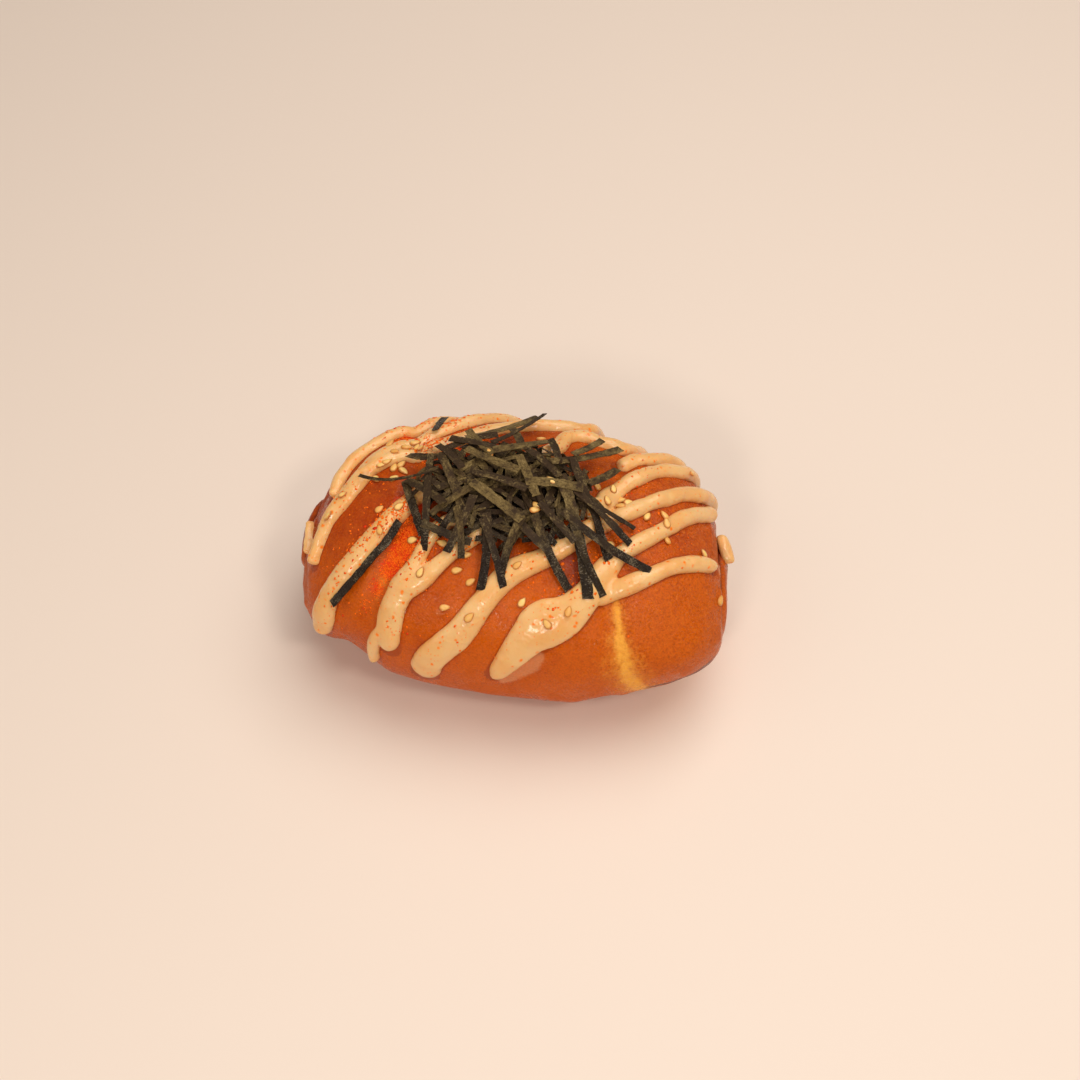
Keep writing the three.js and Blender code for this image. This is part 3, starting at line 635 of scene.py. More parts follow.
def drizzle_finish(settings):
    """Thick creamy sauce with fine orange roe, glossy and a little see-through."""
    f = Finish("Roe_Drizzle")
    clouds = f.noise(8, detail=2)
    fine = f.noise(0.5, detail=3)
    colour = f.mix(f.band(clouds, 0.3, 0.7), tuple(settings.cream), tuple(settings.amber))
    for spacing, rarity, strength in ((2.2, 0.5, 0.95), (1.0, 0.6, 0.72)):
        away, chance = f.dots(spacing, waver=0.5)
        grains = (1 - f.band(away, 0.1, 0.3)) * f.band(chance, rarity, rarity + 0.2)
        colour = f.mix(grains * strength, colour, tuple(settings.roe))
    stained = f.band(f.attribute("chili") + (fine - 0.5) * 1.5 + (clouds - 0.5) * 0.6, 0.4, 1.15)
    colour = f.mix(stained * 0.65, colour, tuple(settings.chili))
    f.surface(
        base_color=colour, roughness=0.17 + clouds * 0.12 + (fine - 0.5) * 0.1, ior=1.45,
        specular_ior_level=0.5, subsurface_weight=0.3, subsurface_scale=0.002,
        subsurface_radius=(1.0, 0.5, 0.22),
        normal=f.bump(fine * 0.12 + f.noise(1.7, detail=1) * 0.9 + f.noise(4) * 1.2, 0.21),
    )
    return f.material


def sesame_finish(settings):
    """Toasted hull: pale yellow, browner at the tips and darker round the rim, with a fine grain."""
    f = Finish("Sesame")
    tip = f.attribute("tip") + (f.noise(0.8, detail=3) - 0.5) * 0.8
    colour = f.mix(f.band(tip, 0.2, 0.95) * 0.9, tuple(settings.hull), tuple(settings.toasted))
    colour = f.mix(f.attribute("tone") * 0.75, colour, tuple(settings.amber))
    f.surface(
        base_color=colour, roughness=0.38 + (f.noise(0.4) - 0.5) * 0.2, specular_ior_level=0.4,
        subsurface_weight=0.15, subsurface_scale=0.001,
        normal=f.bump(f.noise(0.3, detail=3), 0.03, strength=0.6),
    )
    return f.material


def chili_finish(settings):
    """Dry ground chili: orange-red with darker grains."""
    f = Finish("Chili")
    colour = f.mix(f.band(f.attribute("tone"), 0.4, 1.1), tuple(settings.bright), tuple(settings.dark))
    f.surface(
        base_color=colour, roughness=0.55 + f.attribute("tone") * 0.15, specular_ior_level=0.2,
    )
    return f.material


def nori_finish(settings, name="Nori", shine=0.18):
    """Dry laver: dark olive brown, mottled and streaked, darker and glossier where it is wet, with painted
    glints on its wet ribs.
    """
    f = Finish(name)
    cloud = f.noise(2.6, detail=3, roughness=0.6, place=f.along_shreds(1.6))
    fleck = f.noise(0.5, detail=4, roughness=0.72, distortion=0.4, place=f.along_shreds(1.3))
    fibre = f.noise(0.24, detail=3, roughness=0.7, place=f.along_shreds(3))
    tone = f.attribute("tone")
    thin = f.band(fleck * 0.9 + (cloud - 0.5) * 1.5 + (tone - 0.5) * 0.5, 0.28, 0.9)
    colour = f.mix(thin * (fibre * 0.5 + 0.6), tuple(settings.dark), tuple(settings.olive))
    bits = f.band(fibre * 0.6 + fleck * 0.6 + (cloud - 0.5) * 0.5, 0.64, 0.84)
    colour = f.mix(bits * 0.5, colour, tuple(settings.light))
    colour = f.mix(f.band(fleck * 0.6 + fibre * 0.5, 0.55, 0.36) * 0.75, colour, tuple(settings.wet))
    purple = f.band(f.noise(4, detail=1, place=f.along_shreds(1)), 0.54, 0.7)
    colour = f.mix(purple * 0.16, colour, tuple(settings.purple))
    wet = f.attribute("wet")
    colour = f.mix(wet * 0.9, colour, tuple(settings.wet))
    ribs = f.noise(0.6, detail=1, place=f.along_shreds(0.4))
    # Painted glints: pale flecks on the ribs of wet laver stand in for light caught there
    caught = f.band(ribs + (cloud - 0.5) * 0.9, 0.58, 0.72) * wet
    colour = f.mix(caught * 0.5, colour, tuple(settings.painted_rib_glints))
    f.surface(
        base_color=colour, roughness=0.58 - wet * 0.34 + (fibre - 0.5) * 0.3, specular_ior_level=shine,
        normal=f.bump(fleck * 1.2 + fibre * 0.8 + cloud * 0.6 + ribs * wet, 0.22),
    )
    return f.material


def plain_finish(name, colour, roughness):
    """A plain matte surface for the stage."""
    f = Finish(name)
    shade = f.mix(f.noise(60, detail=2) * 0.08, colour, tuple(0.94 * c for c in colour))
    f.surface(base_color=shade, roughness=roughness)
    return f.material


# The pieces


class CrustSettings(bpy.types.PropertyGroup):
    """Looks of the crust."""

    light: colour_setting("Light crust", "Lightly baked crust at the front", 208, 93, 4)
    # Deep crust also paints shade towards the left end
    deep: colour_setting("Deep crust", "Well baked crust at the top and the left", 170, 60, 11)
    bright: colour_setting("Bright grain", "Fine bright grain of the crust", 216, 110, 24)
    # Dark crust also paints the shade over the left end of the roll
    dark: colour_setting("Dark crust", "Pores and the curled edges", 92, 32, 10)
    pale: colour_setting("Pale seam", "Stretched dough in the seams", 252, 176, 66)
    oil: colour_setting("Oily crust", "Crust soaked with red oil", 120, 30, 8)
    # Film colour: partly oil, partly painted contact shadow along the drizzle
    film: colour_setting("Film", "Oily line along the drizzle", 132, 44, 10)
    chili: colour_setting("Chili stain", "Crust dusted with chili", 232, 52, 4)
    # Smear colour also paints the highlight down the right rim
    smear: colour_setting("Smear", "Thin film of sauce", 226, 160, 112)
    grain_depth: length_setting("Grain depth", "Depth of the crust's fine grain", 0.13)


class DrizzleSettings(bpy.types.PropertyGroup):
    """Looks of the drizzle."""

    cream: colour_setting("Cream", "Light part of the sauce", 238, 190, 127)
    amber: colour_setting("Amber", "Deeper part of the sauce", 236, 174, 103)
    roe: colour_setting("Roe", "Roe grains in the sauce", 250, 124, 0)
    chili: colour_setting("Chili stain", "Sauce dusted with chili", 234, 88, 14)
    voxel: length_setting("Voxel", "Size of the mesh that melts the passes together", 0.46)


class SesameSettings(bpy.types.PropertyGroup):
    """Size and looks of the sesame seeds."""

    length: length_setting("Length", "Length of a seed", 3.3)
    width: length_setting("Width", "Width of a seed", 1.9)
    thickness: length_setting("Thickness", "Thickness of a seed", 1.0)
    hull: colour_setting("Hull", "Pale hull", 250, 206, 122)
    # Also darkens the seed all round its rim
    toasted: colour_setting("Toasted tip", "Browner tips", 176, 92, 26)
    amber: colour_setting("Amber", "Oily seeds", 222, 150, 66)


class ChiliSettings(bpy.types.PropertyGroup):
    """Looks of the chili."""

    bright: colour_setting("Bright grain", "Orange-red grain", 255, 112, 8)
    dark: colour_setting("Dark grain", "Dark red grain", 218, 34, 4)


class NoriSettings(bpy.types.PropertyGroup):
    """Size and looks of the nori."""

    thickness: length_setting("Thickness", "Thickness of a shred", 0.18)
    width: length_setting("Width", "Width of a shred", 2.1)
    fillers: bpy.props.IntProperty(
        name="Fillers", description="Shreds between the placed ones", default=150, min=0,
    )
    dark: colour_setting("Dark", "Thick laver", 60, 43, 25)
    olive: colour_setting("Olive", "Thin laver", 128, 105, 60)
    light: colour_setting("Light", "Lightest fibres", 174, 150, 102)
    purple: colour_setting("Purple", "Purple-brown patches", 80, 54, 38)
    # Also the core's colour, which paints shade into the gaps of the heap
    wet: colour_setting("Wet", "Laver wetted by the sauce", 30, 19, 9)
    # Painted highlight colour for the glints on the ribs of wet laver
    painted_rib_glints: colour_setting("Wet ribs", "Light caught by the fine ribs of wet laver", 138, 122, 98)


class StageSettings(bpy.types.PropertyGroup):
    """The floor and the light."""

    floor: colour_setting("Floor", "Pale floor", 236, 218, 203)
    sky: colour_setting("Surroundings", "Light from all round", 255, 244, 232)
    surround: bpy.props.FloatProperty(
        name="Surround", description="Strength of that light", default=0.2, min=0,
    )


def cap_spiral(x, around):
    """How deep the coil of the rolled dough shows in the caps beyond the rims, from 0 to 1."""
    _, rim = seam_and_rim(x, around)
    inward = super_ellipse(np.abs(x) / of_end(x, "reach"), of_end(x, "back"))
    turned = (around + 90) / WHOLE_TURN
    line = 0.5 - 0.32 * turned
    window = smooth_step(turned, 0.04, 0.16) * (1 - smooth_step(turned, 0.84, 0.96))
    return hill((inward - line) / 0.085) * window * smooth_step(np.abs(x), rim - 1, rim + 1)


def crust_details(points, x, around):
    """Fine relief of the crust, in millimetres along its normal, and the numbers its finish reads."""
    seam, rim = seam_and_rim(x, around)
    right = np.asarray(x) > 0
    waver = rough(points, 4, 9) * 0.7 + rough(points, 1.3, 10) * 0.4
    off_top = np.abs(around - TOP)
    from_seam = np.abs(x) - seam - np.where(right, 1.6, 0) + waver * 0.6
    seam_width = 1.5 + 2.2 * smooth_step(off_top, 58, 78) + 0.5 * waver
    seam_width = np.maximum(seam_width, 0.8)
    pale = 0.55 * hill(from_seam / seam_width) + 0.5 * hill(from_seam / seam_width / 3)
    pale = pale * (0.9 + 0.3 * rough(points * np.array([1, 0.5, 0.5]), 1, 12))
    left_pale = 0.6 * smooth_step(off_top, 28, 44) * (1 - smooth_step(off_top, 52, 66))
    pale = np.clip(pale, 0, 1) * np.where(right, smooth_step(off_top, 34, 56), left_pale)
    stretched = points * np.array([1, 0.45, 0.45])
    wrinkles = rough(stretched, 0.9, 1) * 0.6 + rough(points, 0.7, 2) * 0.4
    lumps = rough(points, 11, 3) * 0.3 + rough(points, 4, 4) * 0.12
    fine = rough(points, 1.1, 11) * 0.035
    coil = cap_spiral(x, around)
    beyond = beyond_drizzle(points)
    smear = stain(points, SMEARS)
    lip = hill((np.abs(x) - rim + 1.4) / 1.6)
    under = 1 - smooth_step(points[:, 2], 0.5, 4.5)
    low = 1 - smooth_step(points[:, 2], 14, 26)
    curled = lip * smooth_step(around, 120, 165) * low * np.where(right, 0, 1)
    below_fold = (around - 182 + 6 * smooth_step(x, 49, 60)) / steps_round(1, x, around) + 0.5 * waver
    fold_line = smooth_step(below_fold, -0.8, 1) * (1 - smooth_step(below_fold, 1.4, 4.4))
    curled = curled + fold_line * smooth_step(x, 34, 46) * (1 - smooth_step(x, 54, 60))
    # Painted shade over the left end of the roll, given to the dark crust colour through edge
    left_end_shade = 0.46 * smooth_step(-x, 49, 58)
    height = lumps + fine + wrinkles * 0.34 * pale + 0.2 * pale - 1.5 * coil
    height = height + 0.35 * smooth_step(smear, 0.1, 0.5) + 0.35 * lip * rough(points, 3, 5)
    off_bottom = np.minimum(around + 90, 270 - around)
    baked_sides = 0.3 * smooth_step(-around, -60, 0) - 0.45 * smooth_step(around, 105, 170)
    # Partly browning, partly painted shade: the - x / 260 term darkens the crust towards the left end
    bake_and_left_shade = 0.6 - x / 260 + baked_sides * smooth_step(off_bottom, 0, 30)
    return height * smooth_step(points[:, 2], 0, 3), {
        # edge darkens the baked bottom, the coil in the caps and the curled edges, and paints shade over the
        # left end
        "bake_and_left_shade": bake_and_left_shade, "pale": pale, "edge": np.max([0.8 * under, coil, curled, left_end_shade], axis=0),
        "chili": stain(points, CHILI_STAINS), "oil": stain(points, OIL_STAINS), "smear": smear,
        # film marks the dark line round each pass: partly oil, partly painted contact shadow
        "film": 1 - smooth_step(beyond, 0, 0.6),
        "gloss": np.maximum(stain(points, GLOSS), 0.9 * (1 - smooth_step(beyond, 0.2, 2.6))),
        "leather": smooth_step(x, 20, 34) * (1 - 0.7 * smooth_step(off_top, 66, 90)),
    }


class SALTBREAD_OT_crust(bpy.types.Operator):
    """The baked roll: a ball drawn out into the rolled form, with seams, rims, coils and fine relief"""

    bl_idname = "saltbread.crust"
    bl_label = "Crust"

    def execute(self, context):
        settings = context.scene.saltbread_crust
        crust, directions = add_ball(400, 330)
        across, upward, along = directions.T
        x = along * np.where(along < 0, LEFT_END["reach"], RIGHT_END["reach"])
        around = np.degrees(np.arctan2(upward, across))
        around = np.where(around < -90, around + WHOLE_TURN, around)
        points = on_crust(x, around)
        move_corners(crust, points)
        face_outwards(crust)
        height, looks = crust_details(points, x, around)
        points = points + normals_of(crust) * height[:, None]
        points[:, 2] = np.maximum(points[:, 2], 0)
        move_corners(crust, points)
        for name, values in looks.items():
            give(crust, name, values)
        finish_piece(crust, "bread_crust", crust_finish(settings), "crust", "bread")
        return {"FINISHED"}


def catmull_rom(points, shares):
    """A smooth curve through points, read at shares of its run, as a centripetal Catmull-Rom spline."""
    points = np.asarray(points, float)
    run = np.clip(shares, 0, 1) * (len(points) - 1)
    first = np.minimum(run.astype(int), len(points) - 2)
    t = (run - first)[:, None]
    padded = np.vstack([2 * points[0] - points[1], points, 2 * points[-1] - points[-2]])
    a, b, c, d = (padded[first + i] for i in range(4))
    steps = ((a, b), (b, c), (c, d))
    before, here, after = (np.sqrt(np.linalg.norm(q - p, axis=1))[:, None] for p, q in steps)
    leave = ((b - a) / before - (c - a) / (before + here) + (c - b) / here) * here
    arrive = ((c - b) / here - (d - b) / (here + after) + (d - c) / after) * here
    second = 3 * (c - b) - 2 * leave - arrive
    third = 2 * (b - c) + leave + arrive
    return b + leave * t + second * t**2 + third * t**3


def drizzle_pass(places, draw):
    """One pass of the drizzle: a ball drawn out along its line, with round ends and uneven sides."""
    shares = np.linspace(0, 1, 400)
    line = catmull_rom(places, shares)
    on_bun = on_crust(line[:, 0], line[:, 1])
    length = np.linalg.norm(np.diff(on_bun, axis=0), axis=1).sum()
    rope, directions = add_ball(22, max(14, round(length / 0.8)))
    t = (1 + directions[:, 2]) / 2
    x, around, width = catmull_rom(places, t).T
    ahead = catmull_rom(places, t + 0.01)
    behind = catmull_rom(places, t - 0.01)
    along = unit(on_crust(ahead[:, 0], ahead[:, 1]) - on_crust(behind[:, 0], behind[:, 1]))
    normal = outward(x, around)
    side = unit(np.cross(along, normal))
    from_end = np.clip(np.minimum(t, 1 - t) * length / (width / 2), 0, 1)
    round_end = np.sqrt(1 - (1 - from_end) ** 2)
    turn = np.arctan2(directions[:, 1], directions[:, 0])
    waves = draw.uniform(0, 2 * math.pi, 6)
    run = t * length
    uneven = 1 + 0.05 * np.sin(run / 2.7 + waves[0])
    uneven = uneven + 0.05 * np.sin(run / 5.3 + waves[1] + np.sign(np.cos(turn)))
    tall = 1 + 0.07 * np.sin(run / 3.9 + waves[2]) + 0.05 * np.sin(run / 1.9 + waves[3])
    puddle = smooth_step(width, 5, 10)
    flat = np.sign(np.sin(turn)) * np.abs(np.sin(turn)) ** (0.85 - 0.35 * puddle)
    high = np.where(flat > 0, DRIZZLE_HEIGHT * tall, DRIZZLE_ROOT)
    high = high * (DRIZZLE_END + (1 - DRIZZLE_END) * round_end)
    across = width / 2 * np.cos(turn) * round_end * uneven
    sag = across**2 / (2 * HALF_WIDTH)
    points = on_crust(x, around) + side * across[:, None] + normal * (high * flat - sag)[:, None]
    move_corners(rope, points)
    face_outwards(rope)
    return rope


class SALTBREAD_OT_drizzle(bpy.types.Operator):
    """The piped drizzle: its passes melted into one another"""

    bl_idname = "saltbread.drizzle"
    bl_label = "Drizzle"

    def execute(self, context):
        settings = context.scene.saltbread_drizzle
        draw = np.random.default_rng(5)
        drizzle = join([drizzle_pass(places, draw) for places in DRIZZLE.values()], "roe_drizzle")
        apply_modifier(drizzle, "REMESH", mode="VOXEL", voxel_size=settings.voxel, adaptivity=0)
        apply_modifier(drizzle, "SMOOTH", factor=0.6, iterations=5)
        points = corners_of(drizzle)
        ripple = rough(points, 2.2, 6) * 0.1 + rough(points, 5, 7) * 0.14
        move_corners(drizzle, points + normals_of(drizzle) * ripple[:, None])
        give(drizzle, "chili", stain(points, CHILI_STAINS))
        finish_piece(drizzle, "roe_drizzle", drizzle_finish(settings), "sauce", "bread")
        Ground.current = None
        return {"FINISHED"}


class Ground:
    """What lies on the roll so far, as heights above the crust on a grid of x and around."""

    current = None

    @classmethod
    def of_roll(cls):
        """The roll's own ground, measured when the first topping asks for it."""
        if cls.current is None:
            pieces = [bpy.data.objects.get(name) for name in ("bread_crust", "roe_drizzle")]
            if None in pieces:
                raise RuntimeError("The crust and the drizzle come before what lies on them")
            cls.current = cls(*pieces)
        return cls.current

    def __init__(self, *pieces):
        self.x = np.arange(-58, 58.1, GRID_STEP)
        self.around = np.arange(-10, 190.1, 1.0)
        x, around = np.meshgrid(self.x, self.around, indexing="ij")
        trees = [BVHTree.FromObject(piece, bpy.context.evaluated_depsgraph_get()) for piece in pieces]
        starts = (above_crust(x, around, np.full(x.shape, float(HIGH_UP))) + CENTRE_SHIFT) * MM
        downwards = -outward(x, around)
        self.height = np.zeros(x.shape)
        for i in np.ndindex(x.shape):
            start, down = Vector(starts[i]), Vector(downwards[i])
            hits = [tree.ray_cast(start, down, HEADROOM * MM)[3] for tree in trees]
            reached = [hit for hit in hits if hit is not None]
            self.height[i] = HIGH_UP - min(reached) / MM if reached else 0
        self.bare = self.height.copy()
        self.limit = self.height + HEADROOM

    def cells(self, x, around):
        """The grid's cells at places."""
        i = np.clip(np.rint((x - self.x[0]) / GRID_STEP).astype(int), 0, len(self.x) - 1)
        k = np.clip(np.rint(around - self.around[0]).astype(int), 0, len(self.around) - 1)
        return i, k

    def under(self, x, around):
        """The height at places."""
        return self.height[self.cells(x, around)]

    def pile(self, x, around, lift):
        """Raises the ground at places to a height, but not above its limit."""
        cells = self.cells(x, around)
        np.maximum.at(self.height, cells, np.minimum(lift, self.limit[cells]))


def steps_round(millimetres, x, around):
    """How many degrees round the roll that many millimetres are."""
    radius = np.linalg.norm(on_crust(x, around)[..., 1:] - np.array([0, AXIS_HEIGHT]), axis=-1)
    return np.degrees(millimetres / np.maximum(radius, 8))


def shaped_seed(settings):
    """One sesame seed: a flat drop with a pointed tip, and a number for each vertex that grows towards its
    tips and round its rim.
    """
    seed, directions = add_ball(14, 10)
    side, up, along = directions.T
    narrow = 1 - 0.3 * along - 0.12 * along**2
    rim = 1 + 0.12 * (1 - np.abs(up)) * (np.abs(side) > 0.5)
    points = np.stack([
        side * narrow * rim * settings.width / MM / 2,
        along * settings.length / MM / 2,
        up * (1 - 0.2 * along) * settings.thickness / MM / 2,
    ], axis=1)
    move_corners(seed, points)
    face_outwards(seed)
    give(seed, "tip", np.maximum(0.9 * np.abs(along) ** 4, 1.15 * np.maximum(1 - up**2, 0) ** 1.5))
    return seed, points


def set_down(base, shape, place, normal, heading, tilt, size, tone):
    """A copy of a shape, lying on a place with its long side along a heading."""
    ahead = np.array([math.cos(heading), math.sin(heading), 0])
    normal = unit(normal + tilt)
    ahead = unit(ahead - normal * ahead.dot(normal))
    beside = np.cross(ahead, normal)
    copy = base.copy()
    copy.data = base.data.copy()
    bpy.context.collection.objects.link(copy)
    move_corners(copy, place + size * (shape @ np.array([beside, ahead, normal])))
    give(copy, "tone", np.full(len(shape), tone))
    return copy


class SALTBREAD_OT_sesame(bpy.types.Operator):
    """Sesame seeds on the crust, the drizzle and the nori"""

    bl_idname = "saltbread.sesame"
    bl_label = "Sesame"

    def execute(self, context):
        settings = context.scene.saltbread_sesame
        draw = np.random.default_rng(11)
        ground = Ground.of_roll()
        base, shape = shaped_seed(settings)
        copies = []
        for x, around, heading in SEEDS + SEEDS_ON_NORI:
            around_cells = around + np.array([-1.2, 0, 1.2])[:, None]
            lift = np.median(ground.under(x + np.array([-0.7, 0, 0.7]), around_cells)) + 0.28
            place = above_crust(x, around, lift)
            tilt = draw.uniform(-0.2, 0.2, 3)
            turned = math.radians(heading + draw.uniform(-8, 8))
            size, tone = draw.uniform(0.84, 1.04), draw.uniform(0, 1)
            copies.append(set_down(base, shape, place, outward(x, around), turned, tilt, size, tone))
        bpy.data.objects.remove(base)
        seeds = join(copies, "sesame_seeds")
        finish_piece(seeds, "sesame_seeds", sesame_finish(settings), "sesame", "bread", "nori_heap")
        return {"FINISHED"}


class SALTBREAD_OT_chili(bpy.types.Operator):
    """Chili powder and flakes, scattered in patches"""

    bl_idname = "saltbread.chili"
    bl_label = "Chili"

    def execute(self, context):
        settings = context.scene.saltbread_chili
        draw = np.random.default_rng(23)
        ground = Ground.of_roll()
        deselect()
        bpy.ops.mesh.primitive_ico_sphere_add(subdivisions=1, radius=MM)
        grain = bpy.context.object
        shape = corners_of(grain)
        faces = np.array([polygon.vertices[:] for polygon in grain.data.polygons])
        corners, tones = [], []
        for x, around, reach, count, size in CHILI:
            for _ in range(count):
                far, way = reach * math.sqrt(draw.exponential(0.5)), draw.uniform(0, 2 * math.pi)
                at_x = np.clip(x + far * math.cos(way), -57, 57)
                at_around = around + steps_round(far * math.sin(way), at_x, around)
                lift = ground.under(at_x, at_around) + 0.02
                size_here = size * draw.uniform(0.2, 0.9)
                scale = size_here * np.array([draw.uniform(0.5, 1), draw.uniform(0.4, 0.9), FLAKE_FLATNESS])
                spin = draw.uniform(0, math.pi)
                normal = outward(at_x, at_around)
                ahead = unit(np.cross(normal, np.array([math.cos(spin), math.sin(spin), 0.3])))
                axes = np.array([ahead, np.cross(normal, ahead), normal]) * scale[:, None]
                ragged = shape * draw.uniform(0.6, 1.3, (len(shape), 1))
                corners.append(above_crust(at_x, at_around, lift) + ragged @ axes)
                tones.append(np.full(len(shape), draw.uniform(0, 1) ** 2.2))
        offsets = np.arange(len(corners))[:, None, None] * len(shape)
        flakes = grain.data
        flakes.clear_geometry()
        flakes.from_pydata(np.vstack(corners) * MM, [], (faces[None] + offsets).reshape(-1, 3).tolist())
        give(grain, "tone", np.concatenate(tones))
        finish_piece(grain, "chili_flakes", chili_finish(settings), "chili", "bread")
        return {"FINISHED"}


def resting(run, lowest):
    """The heights of a stiff shred: straight between the highest things that it rests on."""
    touching = []
    for t, height in zip(run, lowest):
        while len(touching) > 1:
            (t0, h0), (t1, h1) = touching[-2:]
            if (h1 - h0) * (t - t0) > (height - h0) * (t1 - t0):
                break
            touching.pop()
        touching.append((t, height))
    heights = np.interp(run, *zip(*touching))
    for _ in range(4):
        padded = np.concatenate([[2 * heights[0] - heights[1]], heights, [2 * heights[-1] - heights[-2]]])
        heights = (padded[:-2] + 2 * padded[1:-1] + padded[2:]) / 4
    return heights


def shred_sheet(ground, row, draw, twist, clearance=0.22, soaked=0):
    """One shred of nori as a thin stiff sheet that rests on the ground, which it raises."""
    x1, around1, x2, around2, lift1, lift2, width, *own_bow = row
    bow = own_bow[0] if own_bow else draw.uniform(-0.045, 0.045)
    ends = np.array([
        above_crust(x, around, np.array(max(lift, ground.under(x, around) + clearance)))
        for x, around, lift in ((x1, around1, lift1), (x2, around2, lift2))
    ])
    reach = ends[1] - ends[0]
    length = np.linalg.norm(reach)
    ahead = reach / length
    steps = max(6, round(length / 0.9))
    s = np.linspace(0, 1, steps + 1)
    line = ends[0] + reach * s[:, None]
    normal = outward(*place_of(line))
    beside = unit(np.cross(ahead, normal))
    line = line + beside * (bow * length * 4 * s * (1 - s))[:, None]
    width = width * SHRED_SLIMMING
    half = width / 2
    heights = []
    for k in (-1, -0.5, 0, 0.5, 1):
        x, around = place_of(line + beside * half * k)
        rest = above_crust(x, around, ground.under(x, around) + clearance)
        heights.append(np.sum((rest - line - beside * half * k) * normal, axis=1))
    heights = np.max(heights, axis=0)
    heights[0] = heights[-1] = 0
    centre = line + normal * resting(s * length, heights)[:, None]
    x, around = place_of(centre)
    lifts = np.sum((centre - on_crust(x, around)) * outward(x, around), axis=1)
    for k in np.linspace(-1, 1, 7):
        ground.pile(*place_of(centre + beside * half * k), lifts + 0.08)
    along = unit(np.gradient(centre, axis=0))
    side = unit(np.cross(along, normal))
    flat = np.cross(side, along)
    angle = twist[0] + twist[1] * (s - 0.5)
    side, flat = (
        side * np.cos(angle)[:, None] + flat * np.sin(angle)[:, None],
        flat * np.cos(angle)[:, None] - side * np.sin(angle)[:, None],
    )
    sheet, t, u = add_sheet(steps, 4)
    index = np.rint(t * steps).astype(int)
    ragged = np.where(np.abs(u) > 0.45, draw.normal(0, 0.03, len(u)), 0)
    cup = draw.uniform(-0.5, 0.9)
    points = centre[index] + side[index] * (width * (u + ragged))[:, None]
    points = points + flat[index] * (cup * u**2)[:, None]
    slanted = np.where((t < 0.01) | (t > 0.99), 1, 0) * draw.uniform(-0.5, 0.5) * u
    points = points + along[index] * slanted[:, None]
    move_corners(sheet, points)
    wet = (1 - smooth_step(lifts, 3, 6)) * smooth_step(around, 88, 108)
    give(sheet, "wet", np.maximum(wet, soaked)[index])
    give(sheet, "tone", np.full(len(t), draw.uniform(0, 1)))
    give(sheet, "run", t * length)
    give(sheet, "across", u * width)
    return sheet


def heap_top(x, around):
    """How high the heap may stand at places, over the crust."""
    far = ((x - HEAP["x"]) / HEAP["half_length"]) ** 2
    far = far + ((around - HEAP["around"]) / HEAP["half_spread"]) ** 2
    return np.where(far < 1, HEAP["bottom"] + HEAP["loose_height"] * np.sqrt(np.clip(1 - far, 0, None)), 0)


def filling_rows(settings, draw):
    """Shreds all over the heap, turned every way."""
    rows = []
    for i in draw.permutation(settings.fillers):
        far = 0.97 * math.sqrt((i + 0.5) / settings.fillers)
        way = i * GOLDEN_TURN
        x = HEAP["x"] + far * HEAP["half_length"] * math.cos(way)
        around = HEAP["around"] + far * HEAP["half_spread"] * math.sin(way)
        heading = draw.uniform(0, math.pi)
        half = draw.uniform(3, 7) * (1 - 0.4 * far)
        reach_around = float(steps_round(half * math.sin(heading), x, around))
        reach_x = half * math.cos(heading)
        width = settings.width / MM * draw.uniform(0.7, 1.1)
        rows.append((x - reach_x, around - reach_around, x + reach_x, around + reach_around, 0, 0, width))
    return rows


def heap_core():
    """The dark tangle inside the heap, lower and narrower than the heap itself; its darkness also paints
    shade into the gaps between the shreds.
    """
    core, directions = add_ball(64, 40)
    along, across, up = directions.T
    x = HEAP["x"] + 0.8 * HEAP["half_length"] * along
    around = HEAP["around"] - 0.8 * HEAP["half_spread"] * across
    dome = np.sqrt(np.clip(up, 0, None)) * 1.8
    points = above_crust(x, around, 2 + dome)
    points = points + outward(x, around) * (rough(points, 1.4, 8) * 0.7 * (up > 0))[:, None]
    move_corners(core, points)
    face_outwards(core)
    # The darkest, wet colour all over: laver lying on the sauce, and painted shade in the gaps between the
    # shreds
    give(core, "wet", np.full(len(x), 1.0))
    give(core, "tone", np.full(len(x), 0.0))
    give(core, "run", 20 * along)
    give(core, "across", 10 * across)
    return core


class SALTBREAD_OT_nori_heap(bpy.types.Operator):
    """The heap of nori: a dark core and shreds that rest on one another"""

    bl_idname = "saltbread.nori_heap"
    bl_label = "Nori Heap"

    def execute(self, context):
        settings = context.scene.saltbread_nori
        draw = np.random.default_rng(37)
        ground = Ground.of_roll()
        core = heap_core()
        x, around = np.meshgrid(ground.x, ground.around, indexing="ij")
        top = heap_top(x, around)
        ground.limit = np.maximum(ground.bare, top)
        ground.height = np.maximum(ground.bare, 0.6 * top)
        sheets = []
        for row in filling_rows(settings, draw):
            sheets.append(shred_sheet(ground, row, draw, (draw.normal(0, 0.25), draw.normal(0, 0.4))))
        for row in HEAP_SHREDS:
            sheets.append(shred_sheet(ground, row, draw, (draw.normal(0, 0.12), draw.normal(0, 0.2))))
        shreds = join(sheets, "nori_shreds")
        apply_modifier(shreds, "SOLIDIFY", thickness=settings.thickness, offset=0)
        keep_crisp(shreds)
        heap = join([shreds, core], "nori_shreds")
        face_outwards(heap)
        finish_piece(heap, "nori_shreds", nori_finish(settings), "nori", "nori_heap")
        return {"FINISHED"}


